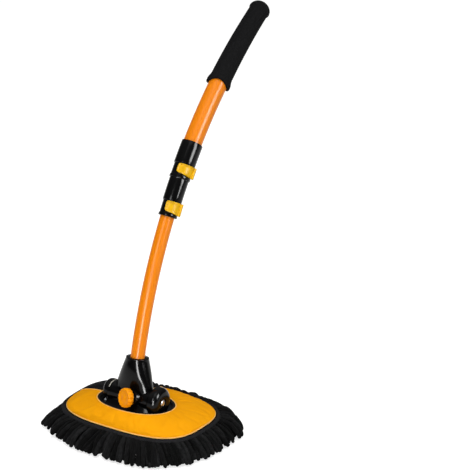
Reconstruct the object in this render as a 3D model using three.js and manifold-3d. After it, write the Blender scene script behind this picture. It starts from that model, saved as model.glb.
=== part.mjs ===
// Car wash brush: an oval chenille wash pad with a domed fabric top, a neck
// that tilts on the pad, and a curved pole in three tubes that slide in one
// another and lock with flip levers. Millimetres, +Z up. The origin is where
// the middle of the wash face meets the ground, X runs along the long side of
// the pad, and the pole leans and bends away towards +Y.

import * as THREE from "three";
import { mergeVertices } from "three/addons/utils/BufferGeometryUtils.js";
import Module from "manifold-3d";

const wasm = await Module();
wasm.setup();

const degree = Math.PI / 180;

// Clearances that every fit is worked out from
const fitGap = 0.3;
const runningGap = 0.6;
const slideGap = 0.5;
const cutOverrun = 2;

// Wash pad: the oval outlines of its layers, as half sizes, and their heights
const panelHalfLength = 98.5;
const panelHalfWidth = 67;
const panelEdgeHeight = 28;
const panelThickness = 3;
const panelRise = 17;
const panelBackDrop = 5.5;
const openingHalfLength = 56;
const openingHalfWidth = 40.5;
const openingSetForward = 9.5;
const panelSquareness = 3;
const openingSquareness = 2.2;
const bindingRadius = 1.8;
const tapeWidth = 6.6;
const tapeThickness = 1.5;
const bandThickness = 5.8;
const backingThickness = 2.7;
const shellThickness = 2.5;
const seatStep = 2.5;
const seatMargin = 2.5;
const foamBulge = 2;

// Chenille strands: the fringe round the pad and the wash face under it
const fringeReachLength = 138.8;
const fringeReachWidth = 90.3;
const fringePerRow = 80;
const fringeStrandWidth = 5;
const fringeStrandThickness = 4.2;
const fringeTipHeight = 5;
const faceStrandRadius = 3.6;
const faceStrandPitch = 11.4;
const faceStrandLength = 18.5;
const groundCut = 0.5;

// Turret on the pad, and the tilt hinge in it
const hingeSetForward = 14.5;
const hingeHeight = 55.5;
const turretHalfLength = 47;
const turretFlangeHalfWidth = 26;
const turretSquareness = 2.4;
const turretFlangeThickness = 3;
const turretBlockTaper = 5;
const headCheekRadius = 20;
const headCheekRounding = 8;
const clipCheekRadius = 14.2;
const clipCheekRounding = 6;
const clipCheekReach = 42.6;
const barrelWall = 3.2;
const barrelRadius = 13;
const barrelHalfLength = 32;
const washerThickness = 1.2;
const pinRadius = 3;
const pinHeadRadius = 5.6;
const pinHeadThickness = 3.2;
const housingScrewRadius = 2;
const housingScrewHeadRadius = 4;
const housingScrewHeadThickness = 2.5;
const housingScrewLength = 12;
const housingScrewSpacingX = 72;
const housingScrewSpacingY = 28;

// Lock knob, its stud and the brake shoe that bears on the neck's barrel
const knobRadius = 12.8;
const knobScallopDepth = 0.7;
const knobScallops = 16;
const scallopCorners = 3;
const knobThickness = 8.5;
const knobStandOff = 24.5;
const knobAimX = 16;
const knobTurn = 22.6 * degree;
const knobTilt = 15 * degree;
const knobBossRadius = 8;
const studRadius = 3;
const studGrip = 5.7;
const shoeRadius = 5;
const shoeLength = 4.2;

// Neck socket
const neckLength = 52;
const neckLean = 10 * degree;
const neckTopRadius = 15.25;
const neckBarrelSquareness = 2.6;
const socketDepth = 36;
const tiltForward = 8 * degree;
const tiltBack = 55 * degree;
const socketScrewRadius = 1.5;
const socketScrewHeadRadius = 3.5;
const socketScrewHeadThickness = 2;
const socketScrewDepth = 14;

// Pole: one bend radius for all three tubes, places counted along the bend
// from the top of the neck
const poleRadius = 650;
const poleLean = 13.7 * degree;
const upperTubeRadius = 12.5;
const tubeWall = 1;
const lowerClampPlace = 187.5;
const bareUpperTubeLength = 85;
const middleTubeSetBack = 18;
const lowerTubeSetBack = 24;
const guideHead = 5.7;
const guideStem = 8;

// Flip-lever clamps
const clampSpacing = 0.9;
const clampFlangeThickness = 3.6;
const lowerClampZone = 17.2;
const upperClampZone = 15.7;
const lowerSleeveLength = 30;
const upperSleeveLength = 31;
const sleeveWall = 1.95;
const zoneWall = 1.85;
const tubeSeatDepth = 2;
const flangeProud = 0.8;
const leverThickness = 2.6;
const leverNarrowing = 3.2;
const leverSpan = 100 * degree;
const leverPivotAngle = 15 * degree;
const leverEyeRadius = 2.3;
const leverPinRadius = 1;
const lugHeight = 5;
const padThickness = 1.5;
const padHeight = 9;
const padSpan = 36 * degree;

// Grip
const gripCoverLength = 124;
const gripEndWall = 13;
const gripWideRadius = 14.8;
const gripSlimRadius = 13.6;
const gripFlareRadius = 15.5;
const gripFlareLength = 9;
const gripNeckRadius = 13.2;
const gripNeckSetBack = 4;
const gripKnobRadius = 14.6;
const gripMouthArch = 5;
const gripMouthTurn = 30 * degree;
const plugFlangeThickness = 2;
const plugStem = 9;
const plugWall = 1.6;

// How finely round and bent shapes are cut into flats
const tubeSides = 16;
const cheekSides = 20;
const eyeSides = 12;
const hemSides = 4;
const screwSides = 10;
const sectorSegments = 6;
const ovalPoints = 32;
const strandSides = 3;
const outlineSamples = 1440;
const bendStep = 32;
const roundingShares = [0, 0.25, 0.5, 0.75, 1];
const weldDistance = 0.001;

// Sizes worked out from those above
const middleTubeRadius = upperTubeRadius - tubeWall - slideGap;
const lowerTubeRadius = middleTubeRadius - tubeWall - slideGap;
const panelTopHeight = panelEdgeHeight + panelThickness;
const hinge = new THREE.Vector3(0, -hingeSetForward, hingeHeight);
const neckDirection = new THREE.Vector3(0, Math.sin(neckLean), Math.cos(neckLean));
const neckTop = hinge.clone().addScaledVector(neckDirection, neckLength);
const seatHeight = hingeHeight - barrelRadius - runningGap - turretFlangeThickness;
const cheekInner = barrelHalfLength + washerThickness + fitGap + fitGap + fitGap;
const lowerClampTop = lowerClampPlace + clampFlangeThickness + lowerClampZone + lowerSleeveLength;
const upperClampPlace = lowerClampTop + clampSpacing;
const upperClampTop = upperClampPlace + clampFlangeThickness + upperClampZone + upperSleeveLength;
const gripPlace = upperClampTop + bareUpperTubeLength;
const upperTubeEnd = gripPlace + gripCoverLength;
const middleTubeEnd = upperTubeEnd - middleTubeSetBack;
const lowerTubeEnd = middleTubeEnd - lowerTubeSetBack;
const gripNeckPlace = upperTubeEnd - gripNeckSetBack;
const poleEnd = upperTubeEnd + gripEndWall;

const finishes = {
  orangeTube: new THREE.MeshStandardMaterial({ color: 0xf98c0a, roughness: 0.28, metalness: 0.3 }),
  orangeFabric: new THREE.MeshStandardMaterial({ color: 0xf7a406, roughness: 0.85, metalness: 0 }),
  orangePlastic: new THREE.MeshStandardMaterial({ color: 0xffa012, roughness: 0.45, metalness: 0 }),
  yellowPlastic: new THREE.MeshStandardMaterial({ color: 0xffc90e, roughness: 0.4, metalness: 0 }),
  blackGloss: new THREE.MeshStandardMaterial({ color: 0x101010, roughness: 0.2, metalness: 0 }),
  blackPlastic: new THREE.MeshStandardMaterial({ color: 0x1c1c1c, roughness: 0.5, metalness: 0 }),
  blackFoam: new THREE.MeshStandardMaterial({ color: 0x1a1a1a, roughness: 0.95, metalness: 0 }),
  greyFoam: new THREE.MeshStandardMaterial({ color: 0x6a6c70, roughness: 1, metalness: 0 }),
  chenille: new THREE.MeshStandardMaterial({ color: 0x141414, roughness: 1, metalness: 0 }),
  tape: new THREE.MeshStandardMaterial({ color: 0x2c2c2e, roughness: 0.9, metalness: 0 }),
  steel: new THREE.MeshStandardMaterial({ color: 0xb9bcc0, roughness: 0.3, metalness: 1 }),
  aluminium: new THREE.MeshStandardMaterial({ color: 0xc9ccd0, roughness: 0.4, metalness: 1 }),
  nylon: new THREE.MeshStandardMaterial({ color: 0xd8d4c8, roughness: 0.6, metalness: 0 }),
  rubber: new THREE.MeshStandardMaterial({ color: 0x26262a, roughness: 0.9, metalness: 0 }),
};

// Closed bodies

function enclosedVolume(geometry) {
  const place = geometry.attributes.position;
  const corners = [new THREE.Vector3(), new THREE.Vector3(), new THREE.Vector3()];
  let total = 0;
  for (let first = 0; first < geometry.index.count; first += corners.length) {
    corners.forEach((corner, i) => corner.fromBufferAttribute(place, geometry.index.getX(first + i)));
    total += corners[0].dot(corners[1].clone().cross(corners[2]));
  }
  return total;
}

function welded(source) {
  const loose = source.clone();
  loose.deleteAttribute("normal");
  loose.deleteAttribute("uv");
  const geometry = mergeVertices(loose, weldDistance);
  const kept = [];
  for (let first = 0; first < geometry.index.count; first += 3) {
    const triangle = [0, 1, 2].map((i) => geometry.index.getX(first + i));
    if (new Set(triangle).size === triangle.length) kept.push(triangle);
  }
  geometry.setIndex(kept.flat());
  if (enclosedVolume(geometry) < 0) {
    geometry.setIndex(kept.map(([a, b, c]) => [a, c, b]).flat());
  }
  return geometry;
}

function toSolid(source) {
  const geometry = welded(source);
  return new wasm.Manifold(new wasm.Mesh({
    numProp: 3,
    vertProperties: new Float32Array(geometry.attributes.position.array),
    triVerts: new Uint32Array(geometry.index.array),
  }));
}

function toGeometry(solid) {
  const mesh = solid.getMesh();
  const geometry = new THREE.BufferGeometry();
  geometry.setAttribute("position", new THREE.BufferAttribute(new Float32Array(mesh.vertProperties), 3));
  geometry.setIndex(new THREE.BufferAttribute(new Uint32Array(mesh.triVerts), 1));
  return geometry;
}

function joined(geometries) {
  return toGeometry(geometries.map(toSolid).reduce((whole, next) => whole.add(next)));
}

function cut(geometry, cutters) {
  const solids = cutters.map(toSolid);
  return toGeometry(solids.reduce((whole, cutter) => whole.subtract(cutter), toSolid(geometry)));
}

const group = new THREE.Group();

function addPiece(name, geometry, finish, parent = group) {
  const mesh = new THREE.Mesh(welded(geometry), finish);
  mesh.name = name;
  parent.add(mesh);
}

// Shapes that several pieces share

function loft(rings, closes) {
  const count = rings[0].length;
  const positions = rings.flat().flatMap((point) => [point.x, point.y, point.z]);
  const indices = [];
  const spans = closes ? rings.length : rings.length - 1;
  for (let row = 0; row < spans; row += 1) {
    const next = (row + 1) % rings.length;
    for (let i = 0; i < count; i += 1) {
      const j = (i + 1) % count;
      indices.push(row * count + i, row * count + j, next * count + j);
      indices.push(row * count + i, next * count + j, next * count + i);
    }
  }
  if (!closes) {
    const last = (rings.length - 1) * count;
    for (let i = 1; i < count - 1; i += 1) {
      indices.push(0, i + 1, i);
      indices.push(last, last + i, last + i + 1);
    }
  }
  const geometry = new THREE.BufferGeometry();
  geometry.setAttribute("position", new THREE.Float32BufferAttribute(positions, 3));
  geometry.setIndex(indices);
  return geometry;
}

// Points spaced evenly round a rounded oval, starting on its +X side
function oval(halfLength, halfWidth, squareness, count) {
  const fine = [];
  for (let i = 0; i <= outlineSamples; i += 1) {
    const angle = (i / outlineSamples) * 2 * Math.PI;
    const x = Math.sign(Math.cos(angle)) * Math.abs(Math.cos(angle)) ** (2 / squareness);
    const y = Math.sign(Math.sin(angle)) * Math.abs(Math.sin(angle)) ** (2 / squareness);
    fine.push(new THREE.Vector2(halfLength * x, halfWidth * y));
  }
  const travelled = [0];
  for (let i = 1; i < fine.length; i += 1) {
    travelled.push(travelled[i - 1] + fine[i].distanceTo(fine[i - 1]));
  }
  const points = [];
  let at = 0;
  for (let i = 0; i < count; i += 1) {
    const target = (i / count) * travelled[outlineSamples];
    while (travelled[at + 1] < target) at += 1;
    const share = (target - travelled[at]) / (travelled[at + 1] - travelled[at]);
    points.push(fine[at].clone().lerp(fine[at + 1], share));
  }
  return points;
}

function ovalRing(halfLength, halfWidth, squareness, height, shiftY = 0, count = ovalPoints) {
  return oval(halfLength, halfWidth, squareness, count)
    .map((point) => new THREE.Vector3(point.x, point.y + shiftY, height));
}

// A solid turned about Z from [radius, height] points that close on themselves
function turned(profile, sides = tubeSides) {
  const points = [...profile, profile[0]].map(([radius, height]) => new THREE.Vector2(radius, height));
  return new THREE.LatheGeometry(points, sides).rotateX(Math.PI / 2);
}

function rod(radius, from, to, sides = tubeSides) {
  return turned([[0, from], [radius, from], [radius, to], [0, to]], sides);
}

function ringOf(innerRadius, outerRadius, from, to, sides = tubeSides) {
  return turned([[innerRadius, from], [outerRadius, from], [outerRadius, to], [innerRadius, to]], sides);
}

function alongX(geometry) {
  return geometry.rotateY(Math.PI / 2);
}

function between(from, to, longest) {
  const count = Math.ceil((to - from) / longest);
  return Array.from({ length: count + 1 }, (unused, i) => from + ((to - from) * i) / count);
}

// The pole's bend: a place is a length along the bend from the neck's top
function poleFrame(place) {
  const angle = poleLean + place / poleRadius;
  const along = new THREE.Vector3(0, Math.sin(angle), Math.cos(angle));
  const inward = new THREE.Vector3(0, Math.cos(angle), -Math.sin(angle));
  const point = new THREE.Vector3(
    neckTop.x,
    neckTop.y + poleRadius * (Math.cos(poleLean) - Math.cos(angle)),
    neckTop.z + poleRadius * (Math.sin(angle) - Math.sin(poleLean)),
  );
  return { point, along, inward, angle };
}

function bent(geometry) {
  const place = geometry.attributes.position;
  for (let i = 0; i < place.count; i += 1) {
    const frame = poleFrame(place.getZ(i));
    const point = frame.point.clone().addScaledVector(frame.inward, place.getY(i));
    place.setXYZ(i, point.x + place.getX(i), point.y, point.z);
  }
  return geometry;
}

function poleGroup(place) {
  const frame = poleFrame(place);
  const holder = new THREE.Group();
  holder.position.copy(frame.point);
  holder.rotation.x = -frame.angle;
  group.add(holder);
  return holder;
}

// Wash pad

const crownShares = [0, 0.12, 0.36, 0.68, 1];
const crownRoundness = 1.4;

// The domed top stands less high behind the turret than in front of it
function lowerBehind(ring, riseShare) {
  const front = -openingSetForward - openingHalfWidth;
  for (const point of ring) {
    const behindShare = THREE.MathUtils.clamp((point.y - front) / (openingHalfWidth * 2), 0, 1);
    point.z -= panelBackDrop * riseShare * behindShare;
  }
  return ring;
}

// A ring on the pad's domed top, at a share of the way from edge to opening
function crownRing(share, drop) {
  const lerp = THREE.MathUtils.lerp;
  const riseShare = (1 - (1 - share) ** crownRoundness) ** (1 / crownRoundness);
  return lowerBehind(ovalRing(
    lerp(panelHalfLength, openingHalfLength, share),
    lerp(panelHalfWidth, openingHalfWidth, share),
    lerp(panelSquareness, openingSquareness, share),
    panelTopHeight + panelRise * riseShare - drop,
    -openingSetForward * share,
  ), riseShare);
}

function seatRing(inset, height) {
  return ovalRing(
    openingHalfLength - inset,
    openingHalfWidth - inset,
    openingSquareness,
    height,
    -openingSetForward,
  );
}

// A ring in the opening that follows the height of the domed top round it
function openingRing(inset, height) {
  return lowerBehind(seatRing(inset, height), 1);
}

function buildCover() {
  const top = crownShares.map((share) => crownRing(share, 0));
  const under = crownShares.map((share) => crownRing(share, panelThickness)).reverse();
  addPiece("cover_panel", loft([...top, ...under], true), finishes.orangeFabric);

  const hemInset = bindingRadius + fitGap + fitGap;
  const hemHeight = panelTopHeight + panelRise - panelThickness + bindingRadius + fitGap;
  const hem = [];
  for (let i = 0; i < hemSides; i += 1) {
    const angle = (i / hemSides) * 2 * Math.PI;
    const inset = hemInset + bindingRadius * Math.cos(angle);
    hem.push(openingRing(inset, hemHeight + bindingRadius * Math.sin(angle)));
  }
  addPiece("opening_binding", loft(hem, true), finishes.tape);

  const tapeInner = fitGap + fitGap;
  const tapeHeight = panelEdgeHeight - fitGap;
  const tape = [
    [tapeInner, tapeHeight],
    [tapeInner + tapeWidth, tapeHeight],
    [tapeInner + tapeWidth, tapeHeight + tapeThickness],
    [tapeInner, tapeHeight + tapeThickness],
  ].map(([out, height]) => ovalRing(panelHalfLength + out, panelHalfWidth + out, panelSquareness, height));
  addPiece("seam_tape", loft(tape, true), finishes.tape);
}

const shellDrop = panelThickness + fitGap;
const seatInset = seatMargin + seatStep;

function buildBaseShell() {
  const innerShares = crownShares.slice().reverse();
  const top = [
    seatRing(seatInset, seatHeight - fitGap),
    openingRing(seatMargin, panelTopHeight + panelRise - shellDrop),
    ...innerShares.slice(1).map((share) => crownRing(share, shellDrop)),
  ];
  const underDrop = shellDrop + shellThickness;
  const under = [
    ...crownShares.slice(0, -1).map((share) => crownRing(share, underDrop)),
    openingRing(seatMargin - shellThickness, panelTopHeight + panelRise - underDrop),
    seatRing(seatInset - shellThickness, seatHeight - fitGap - shellThickness),
  ];
  const holes = housingScrewPlaces().map(([x, y]) => rod(
    housingScrewRadius + fitGap,
    seatHeight - fitGap - shellThickness - cutOverrun,
    seatHeight + cutOverrun,
    screwSides,
  ).translate(x, y, 0));
  addPiece("base_shell", cut(loft([...top, ...under], false), holes), finishes.blackPlastic);
}

const faceTop = faceStrandLength + backingThickness;

function buildFoam() {
  const foamBottom = faceTop + fitGap;
  const foamDrop = shellDrop + shellThickness + fitGap;
  const rim = fitGap + fitGap + fitGap;
  const length = panelHalfLength - rim;
  const width = panelHalfWidth - rim;
  const screwHeadUnder = seatHeight - fitGap - shellThickness - fitGap - housingScrewHeadThickness;
  const sides = [
    ovalRing(length - foamBulge, width - foamBulge, panelSquareness, foamBottom),
    ovalRing(length, width, panelSquareness, foamBottom + foamBulge / 2),
  ];
  const top = crownShares.slice(1, -1).map((share) => crownRing(share, foamDrop));
  const wallInset = seatMargin - shellThickness - fitGap;
  const inner = [
    openingRing(wallInset, panelTopHeight + panelRise - foamDrop - fitGap),
    seatRing(wallInset + seatStep, screwHeadUnder - fitGap),
  ];
  addPiece("foam_core", loft([...sides, ...top, ...inner], false), finishes.greyFoam);
}

// Chenille

const bandInner = fitGap + fitGap;
const bandTop = panelEdgeHeight - fitGap - fitGap;

// One fringe strand along three points, three sides all the way
function fringeStrand(points, across) {
  const rings = points.map((point, i) => {
    const before = points[Math.max(i - 1, 0)];
    const after = points[Math.min(i + 1, points.length - 1)];
    const run = after.clone().sub(before).normalize();
    const lift = run.clone().cross(across).normalize();
    const width = fringeStrandWidth / 2;
    const thickness = fringeStrandThickness / 2;
    return [[0, 1], [-1, -1], [1, -1]].map(([side, face]) => point.clone()
      .addScaledVector(across, side * width)
      .addScaledVector(lift, face * thickness));
  });
  return loft(rings, false);
}

// The two rows: where a strand's middle leaves the band, bends and ends, as
// shares of the way from the band to the full reach and down to the ground
const fringeRowShares = {
  upper: { start: 0.78, midOut: 0.58, midDown: 0.22, tipOut: 1, tipDown: 1 },
  lower: { start: 0.2, midOut: 0.34, midDown: 0.42, tipOut: 0.66, tipDown: 1 },
};

function fringeRow(row, stagger) {
  const rootInset = bandThickness / 2;
  const bandOut = bandInner + bandThickness;
  const rootHeight = THREE.MathUtils.lerp(faceStrandLength, bandTop, row.start);
  const tipHeight = row === fringeRowShares.upper ? fringeTipHeight : -groundCut;
  const outline = (share) => {
    const length = THREE.MathUtils.lerp(panelHalfLength + bandOut, fringeReachLength, share);
    const width = THREE.MathUtils.lerp(panelHalfWidth + bandOut, fringeReachWidth, share);
    return oval(length, width, panelSquareness, fringePerRow * 2);
  };
  const root = oval(
    panelHalfLength + bandOut - rootInset,
    panelHalfWidth + bandOut - rootInset,
    panelSquareness,
    fringePerRow * 2,
  );
  const middle = outline(row.midOut);
  const tip = outline(row.tipOut);
  const strands = [];
  for (let i = 0; i < fringePerRow; i += 1) {
    const at = 2 * i + stagger;
    const uneven = ((i * 3) % 5) / 5;
    const heights = [
      rootHeight,
      THREE.MathUtils.lerp(rootHeight, tipHeight, row.midDown),
      tipHeight + (row === fringeRowShares.upper ? uneven * fringeTipHeight / 2 : 0),
    ];
    const points = [root, middle, tip].map((ring, k) => (
      new THREE.Vector3(ring[at].x, ring[at].y, heights[k])
    ));
    const next = root[(at + 1) % root.length];
    const last = root[(at - 1 + root.length) % root.length];
    const across = new THREE.Vector3(next.x - last.x, next.y - last.y, 0).normalize();
    strands.push({ points, geometry: fringeStrand(points, across) });
  }
  return strands;
}

function buildFringe() {
  const strands = [...fringeRow(fringeRowShares.upper, 1), ...fringeRow(fringeRowShares.lower, 0)];
  const height = bandTop - faceStrandLength;
  const band = [
    [bandInner, faceStrandLength],
    [bandInner + bandThickness, faceStrandLength],
    [bandInner + bandThickness, bandTop],
    [bandInner, bandTop],
  ].map(([out, level]) => ovalRing(panelHalfLength + out, panelHalfWidth + out, panelSquareness, level));
  const reach = fringeReachLength + cutOverrun + cutOverrun;
  const ground = new THREE.BoxGeometry(reach * 2, reach * 2, height).translate(0, 0, -height / 2);
  for (const [name, side] of [["fringe_front", -1], ["fringe_back", 1]]) {
    const away = new THREE.BoxGeometry(reach * 2, reach, reach * 2)
      .translate(0, -side * (reach / 2 - fitGap / 2), 0);
    const halfBand = cut(loft(band, true), [away]);
    const onSide = strands.filter(({ points }) => points[0].y * side > fringeStrandWidth / 2 + fitGap);
    const sewn = joined([halfBand, ...onSide.map(({ geometry }) => geometry)]);
    addPiece(name, cut(sewn, [ground]), finishes.chenille);
  }
}

function buildWashFace() {
  const inset = fitGap;
  const plate = loft([
    ovalRing(panelHalfLength - inset, panelHalfWidth - inset, panelSquareness, faceStrandLength),
    ovalRing(panelHalfLength - inset, panelHalfWidth - inset, panelSquareness, faceTop),
  ], false);
  const rowPitch = faceStrandPitch * Math.sin(60 * degree);
  const bodies = [plate];
  const rows = Math.ceil(panelHalfWidth / rowPitch);
  const columns = Math.ceil(panelHalfLength / faceStrandPitch);
  const height = faceStrandLength + groundCut + backingThickness / 2;
  for (let row = -rows; row <= rows; row += 1) {
    for (let column = -columns; column <= columns; column += 1) {
      const x = (column + (row % 2 === 0 ? 0 : 0.5)) * faceStrandPitch;
      const y = row * rowPitch;
      const roomX = panelHalfLength - inset - faceStrandRadius;
      const roomY = panelHalfWidth - inset - faceStrandRadius;
      const spread = Math.abs(x / roomX) ** panelSquareness + Math.abs(y / roomY) ** panelSquareness;
      if (spread > 1) continue;
      const strand = new THREE.CylinderGeometry(faceStrandRadius, faceStrandRadius, height, strandSides)
        .rotateX(Math.PI / 2)
        .translate(x, y, height / 2 - groundCut);
      bodies.push(strand);
    }
  }
  const ground = new THREE.BoxGeometry(panelHalfLength * 2, panelHalfLength * 2, faceStrandLength)
    .translate(0, 0, -faceStrandLength / 2);
  addPiece("wash_face", cut(joined(bodies), [ground]), finishes.chenille);
}

// Turret: everything here is placed from the hinge

function housingScrewPlaces() {
  return [[-1, -1], [1, -1], [-1, 1], [1, 1]].map(([side, end]) => [
    (side * housingScrewSpacingX) / 2,
    hinge.y + (end * housingScrewSpacingY) / 2,
  ]);
}

const knobAxis = new THREE.Vector3(
  -Math.sin(knobTurn) * Math.cos(knobTilt),
  -Math.cos(knobTurn) * Math.cos(knobTilt),
  Math.sin(knobTilt),
);

// Turns a shape built along Z so that it runs along the knob's axis
function alongKnob(geometry) {
  const turn = new THREE.Quaternion().setFromUnitVectors(new THREE.Vector3(0, 0, 1), knobAxis);
  return geometry.applyQuaternion(turn).translate(knobAimX, 0, 0);
}

// How far along the knob's axis it leaves a cylinder round the hinge
function knobExit(radius) {
  return radius / Math.hypot(knobAxis.y, knobAxis.z);
}

const shoeEnd = knobExit(barrelRadius) + shoeLength;
const bossEnd = knobStandOff - fitGap;

function swingPocket() {
  const reach = neckLength * 2;
  const wall = barrelRadius + runningGap;
  const flare = Math.atan((neckTopRadius - barrelRadius) / neckLength);
  const backLean = neckLean + tiltBack + flare;
  const frontLean = neckLean - tiltForward - flare;
  const outline = new THREE.Shape();
  outline.moveTo(-wall * Math.cos(frontLean), wall * Math.sin(frontLean));
  outline.lineTo(
    reach * Math.sin(frontLean) - wall * Math.cos(frontLean),
    reach * Math.cos(frontLean) + wall * Math.sin(frontLean),
  );
  outline.lineTo(reach, reach);
  outline.lineTo(
    reach * Math.sin(backLean) + wall * Math.cos(backLean),
    reach * Math.cos(backLean) - wall * Math.sin(backLean),
  );
  outline.lineTo(wall * Math.cos(backLean), -wall * Math.sin(backLean));
  outline.lineTo(0, 0);
  const swing = new THREE.ExtrudeGeometry(outline, { depth: cheekInner * 2, bevelEnabled: false })
    .translate(0, 0, -cheekInner);
  // The outline's x becomes +Y and its y becomes +Z, with its depth along X
  swing.applyMatrix4(new THREE.Matrix4().set(
    0, 0, 1, 0,
    1, 0, 0, 0,
    0, 1, 0, 0,
    0, 0, 0, 1,
  ));
  return joined([swing, alongX(rod(wall, -cheekInner, cheekInner))]);
}

// One end of the hinge's housing, from the saddle round the barrel out to its cheek's face
function cheekProfile(radius, rounding, reach) {
  const middleRadius = barrelRadius + runningGap + barrelWall;
  const rounded = roundingShares.map((share) => {
    const angle = share * (Math.PI / 2);
    return [
      radius - rounding * (1 - Math.cos(angle)),
      reach - rounding * (1 - Math.sin(angle)),
    ];
  });
  return [
    [middleRadius, cheekInner - Math.abs(radius - middleRadius)],
    [radius, cheekInner],
    ...rounded,
    [0, reach],
  ];
}

function buildTurret() {
  const holder = new THREE.Group();
  holder.position.copy(hinge);
  group.add(holder);

  const bottom = seatHeight - hinge.z;
  const flangeTop = bottom + turretFlangeThickness;
  const headSide = cheekProfile(headCheekRadius, headCheekRounding, turretHalfLength);
  const clipSide = cheekProfile(clipCheekRadius, clipCheekRounding, clipCheekReach)
    .reverse()
    .map(([radius, x]) => [radius, -x]);
  const cheeks = alongX(turned([...clipSide, ...headSide], cheekSides));
  const block = loft([
    ovalRing(turretHalfLength, turretFlangeHalfWidth, turretSquareness, bottom),
    ovalRing(turretHalfLength, turretFlangeHalfWidth, turretSquareness, flangeTop - fitGap),
    ovalRing(
      turretHalfLength - turretBlockTaper / 2,
      turretFlangeHalfWidth - turretBlockTaper / 2,
      turretSquareness,
      flangeTop,
    ),
    ovalRing(
      turretHalfLength - turretBlockTaper,
      turretFlangeHalfWidth - turretBlockTaper * 2,
      turretSquareness,
      0,
    ),
  ], false);
  const boss = alongKnob(rod(knobBossRadius, knobExit(barrelRadius), bossEnd));
  const below = new THREE.BoxGeometry(turretHalfLength * 4, turretHalfLength * 4, headCheekRadius * 2)
    .translate(0, 0, bottom - headCheekRadius);
  const pinReach = turretHalfLength + cutOverrun;
  const pinBore = alongX(rod(pinRadius + fitGap, -pinReach, pinReach));
  const headRoom = pinHeadThickness + fitGap + fitGap;
  const headBore = alongX(rod(pinHeadRadius + fitGap, turretHalfLength - headRoom, pinReach));
  const clipBore = alongX(rod(pinHeadRadius + fitGap, -pinReach, headRoom - clipCheekReach));
  const shoeBore = alongKnob(rod(shoeRadius + fitGap, 0, shoeEnd + fitGap));
  const studBore = alongKnob(rod(studRadius + fitGap, 0, bossEnd + cutOverrun));
  const pilots = housingScrewPlaces().map(([x, y]) => rod(
    housingScrewRadius + fitGap,
    bottom - cutOverrun,
    bottom + housingScrewLength - shellThickness,
    screwSides,
  ).translate(x, y - hinge.y, 0));
  const housing = cut(
    joined([cheeks, block, boss]),
    [below, swingPocket(), pinBore, headBore, clipBore, shoeBore, studBore, ...pilots],
  );
  addPiece("turret_housing", housing, finishes.blackGloss, holder);

  const pinEnd = clipCheekReach - fitGap - fitGap;
  const clipStart = clipCheekReach - pinHeadThickness - fitGap;
  const headStart = turretHalfLength - pinHeadThickness - fitGap;
  addPiece("hinge_pin", alongX(turned([
    [0, -pinEnd],
    [pinRadius, -pinEnd],
    [pinRadius, headStart],
    [pinHeadRadius, headStart],
    [pinHeadRadius, headStart + pinHeadThickness / 2],
    [pinRadius, headStart + pinHeadThickness],
    [0, headStart + pinHeadThickness],
  ])), finishes.steel, holder);
  addPiece("hinge_pin_clip", alongX(ringOf(
    pinRadius + fitGap,
    pinHeadRadius,
    -clipStart - pinHeadThickness / 2,
    -clipStart,
  )), finishes.steel, holder);
  for (const [name, side] of [["left_friction_washer", -1], ["right_friction_washer", 1]]) {
    const middle = side * (barrelHalfLength + fitGap + washerThickness / 2);
    addPiece(name, alongX(ringOf(
      pinRadius + fitGap,
      barrelRadius - fitGap,
      -washerThickness / 2,
      washerThickness / 2,
    )).translate(middle, 0, 0), finishes.nylon, holder);
  }

  const shoe = cut(alongKnob(rod(shoeRadius, 0, shoeEnd)), [swingPocket()]);
  addPiece("brake_shoe", shoe, finishes.rubber, holder);
}

function buildHousingScrews() {
  const top = seatHeight - fitGap - shellThickness + housingScrewLength;
  const headTop = seatHeight - fitGap - shellThickness - fitGap;
  housingScrewPlaces().forEach(([x, y], i) => {
    addPiece(`housing_screw_${i + 1}`, turned([
      [0, headTop - housingScrewHeadThickness],
      [housingScrewHeadRadius, headTop - housingScrewHeadThickness],
      [housingScrewHeadRadius, headTop],
      [housingScrewRadius, headTop],
      [housingScrewRadius, top - housingScrewRadius - fitGap],
      [0, top - fitGap],
    ], screwSides).translate(x, y, 0), finishes.steel);
  });
}

function buildLockKnob() {
  const holder = new THREE.Group();
  holder.position.set(hinge.x + knobAimX, hinge.y, hinge.z);
  holder.quaternion.setFromUnitVectors(new THREE.Vector3(0, 0, 1), knobAxis);
  group.add(holder);

  const outline = new THREE.Shape();
  const corners = knobScallops * scallopCorners;
  for (let i = 0; i <= corners; i += 1) {
    const angle = (i / corners) * 2 * Math.PI;
    const radius = knobRadius - (knobScallopDepth / 2) * (1 - Math.cos(angle * knobScallops));
    const point = [radius * Math.cos(angle), radius * Math.sin(angle)];
    if (i === 0) outline.moveTo(...point);
    else outline.lineTo(...point);
  }
  const disc = new THREE.ExtrudeGeometry(outline, { depth: knobThickness, bevelEnabled: false })
    .translate(0, 0, knobStandOff);
  const socket = rod(studRadius + fitGap, knobStandOff - cutOverrun, knobStandOff + studGrip + fitGap);
  addPiece("lock_knob", cut(disc, [socket]), finishes.orangePlastic, holder);
  const stud = rod(studRadius, shoeEnd + fitGap, knobStandOff + studGrip);
  addPiece("lock_knob_stud", stud, finishes.steel, holder);
}

// Neck and lower tube

const socketScrewPlace = -socketScrewDepth;

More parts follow.
